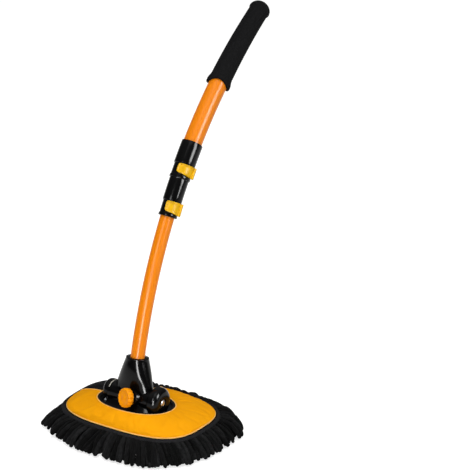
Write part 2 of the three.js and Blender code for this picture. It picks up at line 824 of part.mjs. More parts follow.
function buildNeck() {
  const lerp = THREE.MathUtils.lerp;
  const cone = loft(roundingShares.map((share) => ovalRing(
    lerp(barrelHalfLength, neckTopRadius, share),
    lerp(barrelRadius, neckTopRadius, share),
    lerp(neckBarrelSquareness, 2, share),
    neckLength * share,
  )), false);
  const barrel = alongX(rod(barrelRadius, -barrelHalfLength, barrelHalfLength));
  const neck = joined([cone, barrel]).rotateX(-neckLean).translate(hinge.x, hinge.y, hinge.z);
  const bore = bent(turned([
    [0, -socketDepth - fitGap],
    [lowerTubeRadius + fitGap, -socketDepth - fitGap],
    [lowerTubeRadius + fitGap, cutOverrun * 2],
    [0, cutOverrun * 2],
  ]));
  const pinReach = barrelHalfLength + cutOverrun;
  const pinBore = alongX(rod(pinRadius + fitGap, -pinReach, pinReach))
    .translate(hinge.x, hinge.y, hinge.z);
  addPiece("neck_socket", cut(neck, [bore, pinBore, ...socketScrewCutters()]), finishes.blackGloss);

  const frame = poleFrame(socketScrewPlace);
  const holder = new THREE.Group();
  holder.position.copy(frame.point);
  holder.quaternion.setFromUnitVectors(new THREE.Vector3(0, 0, 1), frame.inward);
  group.add(holder);
  const headStart = neckTopRadius - socketScrewHeadThickness / 2;
  addPiece("socket_screw", turned([
    [0, lowerTubeRadius - tubeWall - fitGap],
    [socketScrewRadius, lowerTubeRadius - tubeWall],
    [socketScrewRadius, headStart],
    [socketScrewHeadRadius, headStart],
    [socketScrewHeadRadius, headStart + socketScrewHeadThickness / 2],
    [socketScrewRadius, headStart + socketScrewHeadThickness],
    [0, headStart + socketScrewHeadThickness],
  ], screwSides), finishes.steel, holder);
}

// The screw's hole and the recess for its head, in the world's frame
function socketScrewCutters() {
  const frame = poleFrame(socketScrewPlace);
  const turn = new THREE.Quaternion().setFromUnitVectors(new THREE.Vector3(0, 0, 1), frame.inward);
  const recess = neckTopRadius - socketScrewHeadThickness / 2 - fitGap;
  return [
    rod(socketScrewRadius + fitGap, lowerTubeRadius - tubeWall * 2, neckTopRadius + cutOverrun, screwSides),
    rod(socketScrewHeadRadius + fitGap, recess, neckTopRadius + cutOverrun * 2, screwSides),
  ].map((cutter) => cutter.applyQuaternion(turn).translate(frame.point.x, frame.point.y, frame.point.z));
}

function tube(radius, from, to) {
  const places = between(from, to, bendStep);
  const profile = [
    ...places.map((place) => [radius, place]),
    ...places.reverse().map((place) => [radius - tubeWall, place]),
  ];
  return bent(turned(profile));
}

// The plastic guide on a tube's top end, which slides in the next tube
function tubeGuide(radius, tubeEnd) {
  const bore = radius - tubeWall - fitGap;
  return bent(turned([
    [0, tubeEnd - guideStem],
    [bore, tubeEnd - guideStem],
    [bore, tubeEnd + fitGap],
    [radius + slideGap / 2, tubeEnd + fitGap],
    [radius + slideGap / 2, tubeEnd + guideHead],
    [bore, tubeEnd + guideHead + fitGap],
    [0, tubeEnd + guideHead + fitGap],
  ]));
}

function buildTubes() {
  const lower = tube(lowerTubeRadius, -socketDepth, lowerTubeEnd);
  addPiece("lower_tube", cut(lower, [socketScrewCutters()[0]]), finishes.orangeTube);
  addPiece("lower_tube_guide", tubeGuide(lowerTubeRadius, lowerTubeEnd), finishes.nylon);

  const middleStart = lowerClampPlace + clampFlangeThickness + lowerClampZone + tubeSeatDepth;
  addPiece("middle_tube", tube(middleTubeRadius, middleStart, middleTubeEnd), finishes.aluminium);
  addPiece("middle_tube_guide", tubeGuide(middleTubeRadius, middleTubeEnd), finishes.nylon);

  const upperStart = upperClampPlace + clampFlangeThickness + upperClampZone + tubeSeatDepth;
  addPiece("upper_tube", tube(upperTubeRadius, upperStart, upperTubeEnd), finishes.orangeTube);
}

// Flip-lever clamps

function sectorOf(inner, outer, from, to, depth) {
  const outline = new THREE.Shape();
  outline.absarc(0, 0, outer, from, to, false);
  outline.absarc(0, 0, inner, to, from, true);
  return new THREE.ExtrudeGeometry(outline, { depth, bevelEnabled: false, curveSegments: sectorSegments });
}

// A clamp holds carried, the tube fixed in its sleeve, to gripped, the tube
// that slides through it, at a place on the pole where its flange starts
function buildClamp(name, place, zone, sleeveLength, carriedRadius, grippedRadius) {
  const bore = grippedRadius + slideGap - fitGap / 2;
  const ring = bore + zoneWall;
  const pivot = ring + fitGap + leverEyeRadius;
  const zoneStart = place + clampFlangeThickness;
  const zoneEnd = zoneStart + zone;
  const sleeveRadius = carriedRadius + fitGap + sleeveWall;
  const seat = zoneEnd + tubeSeatDepth - fitGap;
  const top = zoneEnd + sleeveLength;
  const shell = turned([
    [bore, place],
    [ring + flangeProud, place],
    [ring + flangeProud, zoneStart],
    [ring, zoneStart],
    [ring, zoneEnd],
    [sleeveRadius, zoneEnd],
    [sleeveRadius, top],
    [carriedRadius + fitGap, top],
    [carriedRadius + fitGap, seat],
    [bore, seat],
  ]);
  const pivotX = pivot * Math.cos(leverPivotAngle);
  const pivotY = pivot * Math.sin(leverPivotAngle);
  const middle = (zoneStart + zoneEnd) / 2;
  const lugEnd = [middle - lugHeight / 2, middle + lugHeight / 2];
  const lugRadius = leverEyeRadius;
  const lug = rod(lugRadius, ...lugEnd, eyeSides).translate(pivotX, pivotY, 0);
  const webLength = pivot - bore - zoneWall / 2;
  const web = new THREE.BoxGeometry(webLength, lugRadius, lugHeight)
    .translate(pivot - webLength / 2, 0, middle)
    .rotateZ(leverPivotAngle);
  const pinHole = rod(leverPinRadius + fitGap / 2, place, top, eyeSides).translate(pivotX, pivotY, 0);
  const padMiddle = leverPivotAngle - padSpan;
  const window = sectorOf(
    bore - cutOverrun,
    ring + cutOverrun,
    padMiddle - padSpan / 2 - fitGap / ring,
    padMiddle + padSpan / 2 + fitGap / ring,
    padHeight + fitGap * 2,
  ).translate(0, 0, middle - padHeight / 2 - fitGap);
  const body = cut(joined([shell, lug, web]), [pinHole, window]);
  addPiece(`${name}_clamp_body`, bent(body), finishes.blackGloss);

  const holder = poleGroup(middle);
  const pad = sectorOf(
    bore,
    bore + padThickness,
    padMiddle - padSpan / 2,
    padMiddle + padSpan / 2,
    padHeight,
  ).translate(0, 0, -padHeight / 2);
  addPiece(`${name}_clamp_pad`, pad, finishes.rubber, holder);

  const leverHeight = zone - fitGap * 2;
  addPiece(
    `${name}_lever_pin`,
    rod(leverPinRadius, -leverHeight / 2, leverHeight / 2, eyeSides).translate(pivotX, pivotY, 0),
    finishes.steel,
    holder,
  );
  addPiece(`${name}_clamp_lever`, lever(ring, pivot, leverHeight), finishes.yellowPlastic, holder);
}

// The lever's plate follows the ring round the front and narrows to its tip
function lever(ring, pivot, height) {
  const inner = ring + fitGap + fitGap / 2;
  const outer = inner + leverThickness;
  const tip = leverPivotAngle - leverSpan;
  const steps = 12;
  const tipStep = 10;
  const rings = [];
  for (let i = 0; i <= steps; i += 1) {
    const angle = THREE.MathUtils.lerp(leverPivotAngle, tip, i / steps);
    const rounding = i > tipStep ? ((i - tipStep) / (steps - tipStep)) ** 2 : 0;
    const half = (height - (leverNarrowing * i) / steps - leverNarrowing * rounding) / 2;
    const lift = (leverNarrowing / 4) * (i / steps);
    rings.push([[inner, -half], [outer, -half], [outer, half], [inner, half]].map(([radius, level]) => (
      new THREE.Vector3(radius * Math.cos(angle), radius * Math.sin(angle), level + lift)
    )));
  }
  const pivotX = pivot * Math.cos(leverPivotAngle);
  const pivotY = pivot * Math.sin(leverPivotAngle);
  const eye = rod(leverEyeRadius, -height / 2, height / 2, eyeSides).translate(pivotX, pivotY, 0);
  const pinHole = rod(leverPinRadius + fitGap, -height, height, eyeSides).translate(pivotX, pivotY, 0);
  const notchHalf = lugHeight / 2 + fitGap;
  const notch = rod(leverEyeRadius + fitGap * 2, -notchHalf, notchHalf, eyeSides)
    .translate(pivotX, pivotY, 0);
  return cut(joined([loft(rings, false), eye]), [pinHole, notch]);
}

// Grip

function buildGrip() {
  const bore = upperTubeRadius + fitGap;
  const flareEnd = gripPlace + gripFlareLength;
  const bodyPlaces = between(flareEnd, gripNeckPlace - gripFlareLength, bendStep);
  const bodyRadius = (place) => THREE.MathUtils.mapLinear(
    place,
    flareEnd,
    gripNeckPlace - gripFlareLength,
    gripWideRadius,
    gripSlimRadius,
  );
  const plugTop = upperTubeEnd + fitGap + plugFlangeThickness;
  const knobStart = gripNeckPlace + gripFlareLength / 4;
  const rounding = roundingShares.slice(1).map((share) => {
    const angle = share * (Math.PI / 2);
    return [gripKnobRadius * Math.cos(angle), knobStart + (poleEnd - knobStart) * Math.sin(angle)];
  });
  const profile = [
    [bore, gripPlace],
    [gripFlareRadius, gripPlace],
    [gripFlareRadius, gripPlace + gripFlareLength / 2],
    ...bodyPlaces.map((place) => [bodyRadius(place), place]),
    [gripNeckRadius, gripNeckPlace - gripFlareLength / 4],
    [gripKnobRadius, knobStart],
    ...rounding,
    [0, plugTop + fitGap],
    [bore, plugTop + fitGap],
    ...between(gripPlace, plugTop, bendStep).slice(1, -1).reverse().map((place) => [bore, place]),
  ];
  const sleeve = turned(profile);
  const place = sleeve.attributes.position;
  for (let i = 0; i < place.count; i += 1) {
    const along = place.getZ(i);
    const fade = THREE.MathUtils.clamp((flareEnd - along) / gripFlareLength, 0, 1);
    const angle = Math.atan2(place.getY(i), place.getX(i)) + Math.PI / 2 - gripMouthTurn;
    place.setZ(i, along + gripMouthArch * fade * Math.cos(angle) ** 2);
  }
  addPiece("grip_sleeve", bent(sleeve), finishes.blackFoam);

  const stem = upperTubeRadius - tubeWall - fitGap;
  addPiece("grip_end_plug", bent(turned([
    [stem - plugWall, upperTubeEnd - plugStem],
    [stem, upperTubeEnd - plugStem],
    [stem, upperTubeEnd + fitGap],
    [upperTubeRadius, upperTubeEnd + fitGap],
    [upperTubeRadius, plugTop],
    [0, plugTop],
    [0, upperTubeEnd],
    [stem - plugWall, upperTubeEnd],
  ])), finishes.blackPlastic);
}

buildWashFace();
buildFringe();
buildFoam();
buildBaseShell();
buildCover();
buildTurret();
buildHousingScrews();
buildLockKnob();
buildNeck();
buildTubes();
buildClamp("lower", lowerClampPlace, lowerClampZone, lowerSleeveLength, middleTubeRadius, lowerTubeRadius);
buildClamp("upper", upperClampPlace, upperClampZone, upperSleeveLength, upperTubeRadius, middleTubeRadius);
buildGrip();

export default group;
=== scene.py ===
# %% [markdown]
# # Dressing a car wash brush
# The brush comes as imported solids: a chenille wash pad, a tilting neck and a curved pole of three tubes.
# Their sizes, bodies and joints are settled. This notebook loads them as a fixed frame and builds what
# the eye sees round it. Soft pieces are made anew, because yarn and fabric can't be read from plain
# solids. Hard pieces are made anew where a highlight would show the flats of the solids, and otherwise
# keep their solid and get a finish.

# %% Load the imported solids
import math

import bmesh
import bpy
import numpy as np
from mathutils import Matrix, Vector


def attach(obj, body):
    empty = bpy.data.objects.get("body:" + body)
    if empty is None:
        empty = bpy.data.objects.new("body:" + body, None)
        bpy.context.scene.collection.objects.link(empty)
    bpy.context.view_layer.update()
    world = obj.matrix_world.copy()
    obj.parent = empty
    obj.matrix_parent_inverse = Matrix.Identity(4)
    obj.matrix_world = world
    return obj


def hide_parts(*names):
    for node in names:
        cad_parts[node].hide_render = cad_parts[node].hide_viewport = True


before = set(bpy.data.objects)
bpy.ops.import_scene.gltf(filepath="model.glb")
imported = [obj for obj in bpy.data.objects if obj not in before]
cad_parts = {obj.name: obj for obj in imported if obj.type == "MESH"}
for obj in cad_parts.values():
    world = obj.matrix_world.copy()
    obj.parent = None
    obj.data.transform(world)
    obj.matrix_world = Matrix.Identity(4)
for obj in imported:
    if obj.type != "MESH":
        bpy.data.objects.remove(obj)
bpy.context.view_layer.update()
scene = bpy.context.scene
scene.view_settings.view_transform = "Standard"
MM = 0.001

# %% [markdown]
# ## Camera
# The photograph was taken from in front and to the right of the pad, a little above it, with a long lens
# that keeps the pole's sides almost parallel. The place and the lens come from a fit of the pole's bend
# and of the pad's outline to the picture. A long lens is chosen over a wide one because the perspective
# in the picture is weak.

# %% Place the camera
camera_data = bpy.data.cameras.new("studio_camera")
camera_data.sensor_width = 36.0
camera_data.lens = 232.7
camera = bpy.data.objects.new("studio_camera", camera_data)
camera.location = (2.110, -2.9283, 1.7474)
view_direction = Vector((-0.51526, 0.76935, -0.37763))
camera.rotation_euler = view_direction.to_track_quat("-Z", "Y").to_euler()
scene.collection.objects.link(camera)
scene.camera = camera
print("camera distance to the pad:", round(camera.location.length, 2), "m")

# %% [markdown]
# ## Node helpers
# Colours are picked as sRGB hex codes, which is how a screen shows them, but a shader works in linear
# light, so one function converts them. Another adds any node with its settings and links. Both keep the
# finishes below short enough to read as recipes.

# %% Colour, node and material helpers
def linear(code):
    """An sRGB hex colour as linear red, green, blue and alpha."""
    shares = [int(code[i:i + 2], 16) / 255 for i in (0, 2, 4)]
    return [*(s / 12.92 if s <= 0.04045 else ((s + 0.055) / 1.055) ** 2.4 for s in shares), 1.0]


def add(tree, kind, settings=None, links=None):
    """Adds a node, sets its sockets or properties, and links its inputs."""
    node = tree.nodes.new(kind)
    for key, value in (settings or {}).items():
        if isinstance(key, int) or key in node.inputs:
            node.inputs[key].default_value = value
        else:
            setattr(node, key, value)
    for key, source in (links or {}).items():
        tree.links.new(source, node.inputs[key])
    return node


def per_mm(spacing):
    """The scale of a noise or cell texture whose features are this many millimetres apart."""
    return 1 / (spacing * MM)


def start_finish(name, color, surface):
    """A material with its even settings, and its node tree, shader and object coordinates."""
    material = bpy.data.materials.new(name)
    material.use_nodes = True
    tree = material.node_tree
    shader = tree.nodes["Principled BSDF"]
    shader.inputs["Base Color"].default_value = linear(color)
    for socket, value in surface.items():
        shader.inputs[socket].default_value = value
    place = add(tree, "ShaderNodeTexCoord").outputs["Object"]
    return material, tree, shader, place


def raise_surface(tree, shader, height, depth, strength):
    """Bump from a height between 0 and 1 whose full relief is depth millimetres."""
    bump = add(tree, "ShaderNodeBump", {"Strength": strength, "Distance": depth * MM}, {"Height": height})
    tree.links.new(bump.outputs["Normal"], shader.inputs["Normal"])


def vary_color(tree, shader, share, dark, light):
    """Blends the base colour between two hex codes by a share that a texture gives."""
    blend = add(tree, "ShaderNodeMix", {"data_type": "RGBA", 6: linear(dark), 7: linear(light)}, {0: share})
    tree.links.new(blend.outputs[2], shader.inputs["Base Color"])


print("a middle grey 808080 is", round(linear("808080")[0], 3), "in linear light")

# %% [markdown]
# ## Smooth hard finishes
# Moulded ABS copies a polished mould, so the neck and clamps mirror the studio as sharp streaks, and only
# a faint waviness from shrinkage shows. The tubes are aluminium under a layer of orange powder coat,
# which flows like paint when it is baked: a soft gloss with a fine orange-peel skin. Each is one
# Principled shader, with noise for the relief. The picture's blacks are deeper than plastic on a pale
# floor gives, so these finishes mirror less than the real ones would, and the studio's boxes are brighter
# in reflections to keep the streaks.

# %% Powder coat and ABS
def moulded_finish(name, color, dark, roughness, wave_mm, mirror):
    """Injection-moulded plastic: a slight sink waviness in its relief, and an uneven colour."""
    material, tree, shader, place = start_finish(name, color, {
        "Roughness": roughness, "IOR": 1.53, "Specular IOR Level": mirror,
    })
    wave = add(tree, "ShaderNodeTexNoise", {"Scale": per_mm(wave_mm), "Detail": 2.0}, {"Vector": place})
    raise_surface(tree, shader, wave.outputs["Fac"], depth=0.06, strength=0.35)
    vary_color(tree, shader, wave.outputs["Fac"], dark, color)
    return material


# Each finish: colour, colour of its darker patches, roughness, millimetres between waves, mirror level
gloss_black_abs = moulded_finish("gloss_black_abs", "060607", "040404", 0.14, 9, 0.12)
satin_black_polypropylene = moulded_finish("satin_black_polypropylene", "0C0C0E", "080809", 0.42, 3, 0.12)
orange_abs = moulded_finish("orange_abs", "FFA408", "FB9404", 0.32, 4, 0.05)
yellow_abs = moulded_finish("yellow_abs", "F3BF05", "EDB203", 0.3, 4, 0.12)

orange_powder_coat, tree, shader, place = start_finish("orange_powder_coat", "F98A08", {
    "Roughness": 0.28, "IOR": 1.5, "Specular IOR Level": 0.15,
})
# The real orange peel is about 0.8 mm from crest to crest. It is drawn at 1.6 mm so that it shows.
ORANGE_PEEL_MM = 1.6
peel = add(tree, "ShaderNodeTexNoise", {"Scale": per_mm(ORANGE_PEEL_MM), "Detail": 1.0}, {"Vector": place})
raise_surface(tree, shader, peel.outputs["Fac"], depth=0.05, strength=0.3)
vary_color(tree, shader, peel.outputs["Fac"], "F48203", "FB9008")
print("made", gloss_black_abs.name, yellow_abs.name, orange_abs.name, orange_powder_coat.name)

# %% [markdown]
# ## Metals, nylon and rubber
# The middle tube is bare drawn aluminium, whose drawing die leaves fine lines along it, so its noise is
# stretched one way. Screws and pins are zinc-plated steel, bright and slightly cloudy. The washers and
# guides are natural nylon, a milky plastic, and the pads in the clamps are matt black rubber.

# %% Small hard finishes
drawn_aluminium, tree, shader, place = start_finish("drawn_aluminium", "C4C7CB", {
    "Metallic": 1.0, "Roughness": 0.34,
})
DIE_LINE_MM, DIE_LINE_STRETCH = 0.5, (1.0, 0.04, 0.04)
stretch = add(tree, "ShaderNodeMapping", {"Scale": DIE_LINE_STRETCH}, {"Vector": place})
lines = add(tree, "ShaderNodeTexNoise", {"Scale": per_mm(DIE_LINE_MM), "Detail": 3.0},
            {"Vector": stretch.outputs["Vector"]})
raise_surface(tree, shader, lines.outputs["Fac"], depth=0.03, strength=0.4)
vary_color(tree, shader, lines.outputs["Fac"], "B4B8BD", "D0D3D6")


def cloudy_finish(name, dark, light, cloud_mm, depth, surface):
    """A plain finish whose colour and relief follow one soft noise."""
    material, tree, shader, place = start_finish(name, light, surface)
    cloud = add(tree, "ShaderNodeTexNoise", {"Scale": per_mm(cloud_mm), "Detail": 4.0}, {"Vector": place})
    raise_surface(tree, shader, cloud.outputs["Fac"], depth, strength=0.4)
    vary_color(tree, shader, cloud.outputs["Fac"], dark, light)
    return material


# Each finish: dark and light colour, millimetres between clouds, and depth of its relief in millimetres
zinc_steel = cloudy_finish("zinc_plated_steel", "9EA3A8", "C9CDD0", 1.5, 0.03, {
    "Metallic": 1.0, "Roughness": 0.28,
})
natural_nylon = cloudy_finish("natural_nylon", "CFCABB", "DEDACD", 3, 0.04, {"Roughness": 0.5, "IOR": 1.53})
black_rubber = cloudy_finish("black_rubber", "161618", "242427", 0.8, 0.08, {"Roughness": 0.85, "IOR": 1.52})
print("made", drawn_aluminium.name, zinc_steel.name, natural_nylon.name, black_rubber.name)

# %% [markdown]
# ## Foam
# The grip is a sleeve of expanded EVA foam. Its skin is cut through thousands of tiny cells, so it looks
# matt and finely speckled. A cell texture gives both the pits and the speckle. The real cells are about
# 0.4 mm across and are drawn at 0.9 mm so that they show. The pad's core is an open grey foam with larger
# cells.

# %% Foam finishes
def foam_finish(name, pit, skin, cell_mm, sheen):
    """Cut foam: pits between cells, darker inside, with light caught by the cell walls."""
    material, tree, shader, place = start_finish(name, skin, {
        "Roughness": 0.95, "IOR": 1.45, "Specular IOR Level": 0.03, "Sheen Weight": sheen,
    })
    cells = add(tree, "ShaderNodeTexVoronoi", {"Scale": per_mm(cell_mm)}, {"Vector": place})
    raise_surface(tree, shader, cells.outputs["Distance"], depth=0.25, strength=0.6)
    vary_color(tree, shader, cells.outputs["Distance"], pit, skin)
    return material


eva_grip_foam = foam_finish("eva_grip_foam", "0A0A0B", "202021", cell_mm=0.9, sheen=0.01)
open_grey_foam = foam_finish("open_grey_foam", "55575B", "7B7E83", cell_mm=1.4, sheen=0.2)
print("made", eva_grip_foam.name, open_grey_foam.name)

# %% [markdown]
# ## Chenille yarn and fabrics
# Chenille is a cord with a short velvet pile all round, so a noodle of it has no gloss, a soft grey edge
# where light catches the pile, and a knobbly surface. Sheen gives the soft edge, and a fine noise the
# pile. The top is an orange polyester knit: two crossed waves give its rows and columns of stitches. The
# tapes are ribbed polyester.

# %% Yarn and fabric finishes
chenille_yarn, tree, shader, place = start_finish("chenille_yarn", "141414", {
    "Roughness": 1.0, "Specular IOR Level": 0.02, "Sheen Weight": 0.02, "Sheen Roughness": 0.6,
})
# The pile is about 0.3 mm thick and is drawn at 0.8 mm so that it shows.
PILE_MM, CLUMP_MM = 0.8, 6
pile = add(tree, "ShaderNodeTexNoise", {"Scale": per_mm(PILE_MM), "Detail": 4.0, "Roughness": 0.7},
           {"Vector": place}).outputs["Fac"]
clumps = add(tree, "ShaderNodeTexNoise", {"Scale": per_mm(CLUMP_MM), "Detail": 1.0},
             {"Vector": place}).outputs["Fac"]
tuft = add(tree, "ShaderNodeMath", {"operation": "MULTIPLY"}, {0: pile, 1: clumps}).outputs["Value"]
# Each noodle gets a random painted shade, standing in for the different light on neighbouring noodles.
STRAND_SHADE_LEAST, STRAND_SHADE_RANGE = 0.05, 1.9
painted_strand_shade = add(tree, "ShaderNodeNewGeometry").outputs["Random Per Island"]
strand_shade_share = add(tree, "ShaderNodeMath", {"operation": "MULTIPLY_ADD", 1: STRAND_SHADE_RANGE, 2: STRAND_SHADE_LEAST},
                {0: painted_strand_shade}).outputs["Value"]
shade = add(tree, "ShaderNodeMath", {"operation": "MULTIPLY"}, {0: tuft, 1: strand_shade_share}).outputs["Value"]
raise_surface(tree, shader, pile, depth=0.7, strength=0.9)
vary_color(tree, shader, shade, "020202", "2A2A2B")

DYE_CLOUD_MM = 18
cloth = {
    "Roughness": 0.85, "Sheen Weight": 0.01, "Sheen Roughness": 0.5, "IOR": 1.5, "Specular IOR Level": 0.03,
}


def wave_scale(spacing):
    """The scale of a band wave whose crests are this many millimetres apart."""
    return 2 * math.pi / (20 * spacing * MM)


def woven_finish(name, dark, light, spacings, depth, strength):
    """Threads that cross at right angles, with a soft unevenness in the dye."""
    material, tree, shader, place = start_finish(name, light, cloth)
    threads = [
        add(tree, "ShaderNodeTexWave", {
            "bands_direction": axis, "Scale": wave_scale(spacing), "Distortion": 0.4, "Detail": 1.0,
        }, {"Vector": place}).outputs["Fac"]
        for axis, spacing in spacings.items()
    ]
    weave = add(tree, "ShaderNodeMath", {"operation": "MULTIPLY"}, {0: threads[0], 1: threads[-1]})
    dye = add(tree, "ShaderNodeTexNoise", {"Scale": per_mm(DYE_CLOUD_MM), "Detail": 3.0}, {"Vector": place})
    raise_surface(tree, shader, weave.outputs["Value"], depth, strength)
    vary_color(tree, shader, dye.outputs["Fac"], dark, light)
    return material


# Stitches of the knit are about 0.7 mm apart and are drawn at 1.5 mm so that they show.
knit, ribs = {"X": 1.5, "Y": 1.5}, {"X": 1.8, "Y": 1.8}
twist, ply = {"X": 1.2, "DIAGONAL": 1.2}, {"DIAGONAL": 0.6}
orange_knit = woven_finish("orange_polyester_knit", "F49F02", "FAAA06", knit, 0.25, 0.35)
black_knit = woven_finish("black_polyester_knit", "0A0A0B", "151516", knit, 0.25, 0.35)
black_tape = woven_finish("ribbed_black_tape", "18181A", "28282A", ribs, 0.3, 0.7)
# The piping's lighter orange is a painted highlight along the seams.
piping_with_painted_highlight = woven_finish("twisted_piping_with_painted_highlight", "FFBE58", "FFCE7C", twist, 0.3, 0.5)
sewing_thread = woven_finish("sewing_thread", "161617", "262628", ply, 0.1, 0.5)
print("made", chenille_yarn.name, orange_knit.name, black_tape.name, piping_with_painted_highlight.name)

# %% [markdown]
# ## Building meshes
# Nearly every piece here is either turned on a lathe, like the tubes, or lofted through rings, like the
# oval pad. So two helpers make those skins in millimetres, others round the corners of a profile as a
# mould or a cutter leaves them, sweep a cord along a path or join shapes, and one turns the points into a
# finished object. Corners are rounded in the profile, not with a bevel modifier, because then each radius
# is exactly what the piece has. Only the turret and the neck are bevelled, because their edges appear
# where solids are joined and cut.

# %% Mesh helpers
WELD = 0.002 * MM


def oval(half_length, half_width, squareness, count):
    """Points spaced evenly round a rounded oval, in millimetres, starting on its +X side."""
    angle = np.linspace(0, 2 * np.pi, 1441)
    across, along = np.cos(angle), np.sin(angle)
    power = 2 / squareness
    fine = np.stack([
        half_length * np.sign(across) * np.abs(across) ** power,
        half_width * np.sign(along) * np.abs(along) ** power,
    ], 1)
    travelled = np.concatenate([[0], np.cumsum(np.linalg.norm(np.diff(fine, axis=0), axis=1))])
    wanted = np.linspace(0, travelled[-1], count, endpoint=False)
    return np.stack([np.interp(wanted, travelled, fine[:, side]) for side in (0, 1)], 1)


def level(points, height, shift=0.0):
    """A flat ring of points at a height, moved along Y."""
    return np.column_stack([points[:, 0], points[:, 1] + shift, np.full(len(points), float(height))])


def lofted(rings, closes=False):
    """Points and faces of a skin through rings of one count. Open ends get a flat face each."""
    count = len(rings[0])
    faces = []
    for row in range(len(rings) if closes else len(rings) - 1):
        near, far = row * count, ((row + 1) % len(rings)) * count
        for i in range(count):
            j = (i + 1) % count
            faces.append((near + i, near + j, far + j, far + i))
    if not closes:
        faces.append(tuple(reversed(range(count))))
        faces.append(tuple((len(rings) - 1) * count + i for i in range(count)))
    return np.concatenate(rings), faces


def rounded(corners, radius, steps=4):
    """A closed profile with each corner off the axis replaced by a small curve."""
    corners = [np.array(corner, float) for corner in corners]
    smooth = []
    for i, corner in enumerate(corners):
        before, after = corners[i - 1] - corner, corners[(i + 1) % len(corners)] - corner
        reach = min(radius, np.linalg.norm(before) / 2.2, np.linalg.norm(after) / 2.2)
        if corner[0] < 1e-6 or reach < 1e-6:
            smooth.append(corner)
            continue
        start = corner + before / np.linalg.norm(before) * reach
        end = corner + after / np.linalg.norm(after) * reach
        for share in np.linspace(0, 1, steps + 1):
            smooth.append((1 - share) ** 2 * start + 2 * share * (1 - share) * corner + share ** 2 * end)
    return smooth


def stepped(profile, longest):
    """The same profile with extra points, so that no stretch of it is longer than this."""
    points = []
    for i, point in enumerate(profile):
        following = profile[(i + 1) % len(profile)]
        count = max(1, math.ceil(np.linalg.norm(np.subtract(following, point)) / longest))
        points.extend(np.array(point) + (np.subtract(following, point)) * k / count for k in range(count))
    return points


def turned(profile, sides=64):
    """A closed profile of radius and height, turned about Z."""
    angle = np.linspace(0, 2 * np.pi, sides, endpoint=False)
    rings = [
        np.column_stack([radius * np.cos(angle), radius * np.sin(angle), np.full(sides, height)])
        for radius, height in profile
    ]
    return lofted(rings, closes=True)


def rod(radius, start, end, sides=48):
    """A plain cylinder along Z."""
    return turned([(0, start), (radius, start), (radius, end), (0, end)], sides)


def soft_rod(radius, start, end, rounding, steps=4, sides=64):
    """A cylinder along Z with both rims rounded."""
    profile = [(0, start), (radius, start), (radius, end), (0, end)]
    return turned(rounded(profile, rounding, steps), sides)


def moved(shape, offset):
    """The same points and faces, moved in millimetres."""
    points, faces = shape
    return points + offset, faces


def joined(shapes):
    """Points and faces of many shapes as one."""
    points, faces, total = [], [], 0
    for more_points, more_faces in shapes:
        points.append(more_points)
        faces.extend(tuple(index + total for index in face) for face in more_faces)
        total += len(more_points)
    return np.concatenate(points), faces


def rings_along(path, radii, across, sides=8):
    """Rings of a cord along a path, with one radius or one for each of its points."""
    runs = np.gradient(path, axis=0)
    runs /= np.linalg.norm(runs, axis=1, keepdims=True)
    side = np.cross(runs, across)
    side /= np.linalg.norm(side, axis=1, keepdims=True)
    lift = np.cross(side, runs)
    angle = np.linspace(0, 2 * np.pi, sides, endpoint=False)
    ring = side[:, None] * np.cos(angle)[None, :, None] + lift[:, None] * np.sin(angle)[None, :, None]
    return path[:, None] + ring * np.reshape(np.broadcast_to(radii, len(path)), (-1, 1, 1))


def make_mesh(name, points, faces):
    """A linked object from points in millimetres, welded, with its faces turned outwards."""
    mesh = bpy.data.meshes.new(name)
    mesh.from_pydata((np.asarray(points) * MM).tolist(), [], faces)
    work = bmesh.new()
    work.from_mesh(mesh)
    bmesh.ops.remove_doubles(work, verts=work.verts, dist=WELD)
    bmesh.ops.recalc_face_normals(work, faces=work.faces)
    work.to_mesh(mesh)
    work.free()
    made = bpy.data.objects.new(name, mesh)
    scene.collection.objects.link(made)
    return made


def bake(piece):
    """Turns a piece's modifiers into plain mesh."""
    bpy.context.view_layer.update()
    finished = bpy.data.meshes.new_from_object(piece.evaluated_get(bpy.context.evaluated_depsgraph_get()))
    piece.modifiers.clear()
    piece.data = finished


def combine(piece, others, operation):
    """Joins other solids to a piece or cuts them out of it, and removes them."""
    for other in others:
        step = piece.modifiers.new(operation.lower(), "BOOLEAN")
        step.operation = operation
        step.solver = "EXACT"
        step.object = other
    bake(piece)
    for other in others:
        bpy.data.objects.remove(other)


def soften_edges(piece, width, sharpest):
    """Rounds a moulded piece's edges by millimetres, where they turn by more than this many degrees."""
    step = piece.modifiers.new("moulded_edges", "BEVEL")
    step.width = width * MM
    step.segments = 2
    step.limit_method = "ANGLE"
    step.angle_limit = math.radians(sharpest)
    bake(piece)


def finish_piece(piece, body, material, replaces=(), crease=32):
    """Shades a piece smooth between its real edges, gives it its finish, and hangs it on its body."""
    piece.data.shade_smooth()
    piece.data.set_sharp_from_angle(angle=math.radians(crease))
    if material:
        piece.data.materials.clear()
        piece.data.materials.append(material)
    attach(piece, body)
    if replaces:
        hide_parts(*replaces)
    print(piece.name, "rides on", body, "with", len(piece.data.polygons), "faces")
    return piece


print("a rounded square corner has", len(rounded([(1, 0), (2, 0), (2, 1), (1, 1)], 0.2)), "profile points")

# %% [markdown]
# ## The pad's fabric top
# The orange top is one piece of knit, sewn to the pad round its rim and bound round the opening for the
# neck. The foam and the shell under it push it up into an even crown. A plain dome would do from afar,
# but real fabric is drawn in at its seams and swells between them. So the top is a sheet pinned at both
# seams, and a short cloth simulation blows it up from below. The points may move only a little, so the
# outline stays where the shell holds it.

# %% The crown's shape
PANEL_HALF = (97.3, 67.0)
OPENING_HALF = (56.0, 40.5)
OPENING_SHIFT = -9.5
PANEL_SQUARENESS, OPENING_SQUARENESS = 3.0, 2.2
PANEL_TOP, PANEL_RISE, PANEL_BACK_DROP, CROWN_ROUNDNESS = 31.0, 17.0, 5.5, 1.4
ROUND_POINTS = 240


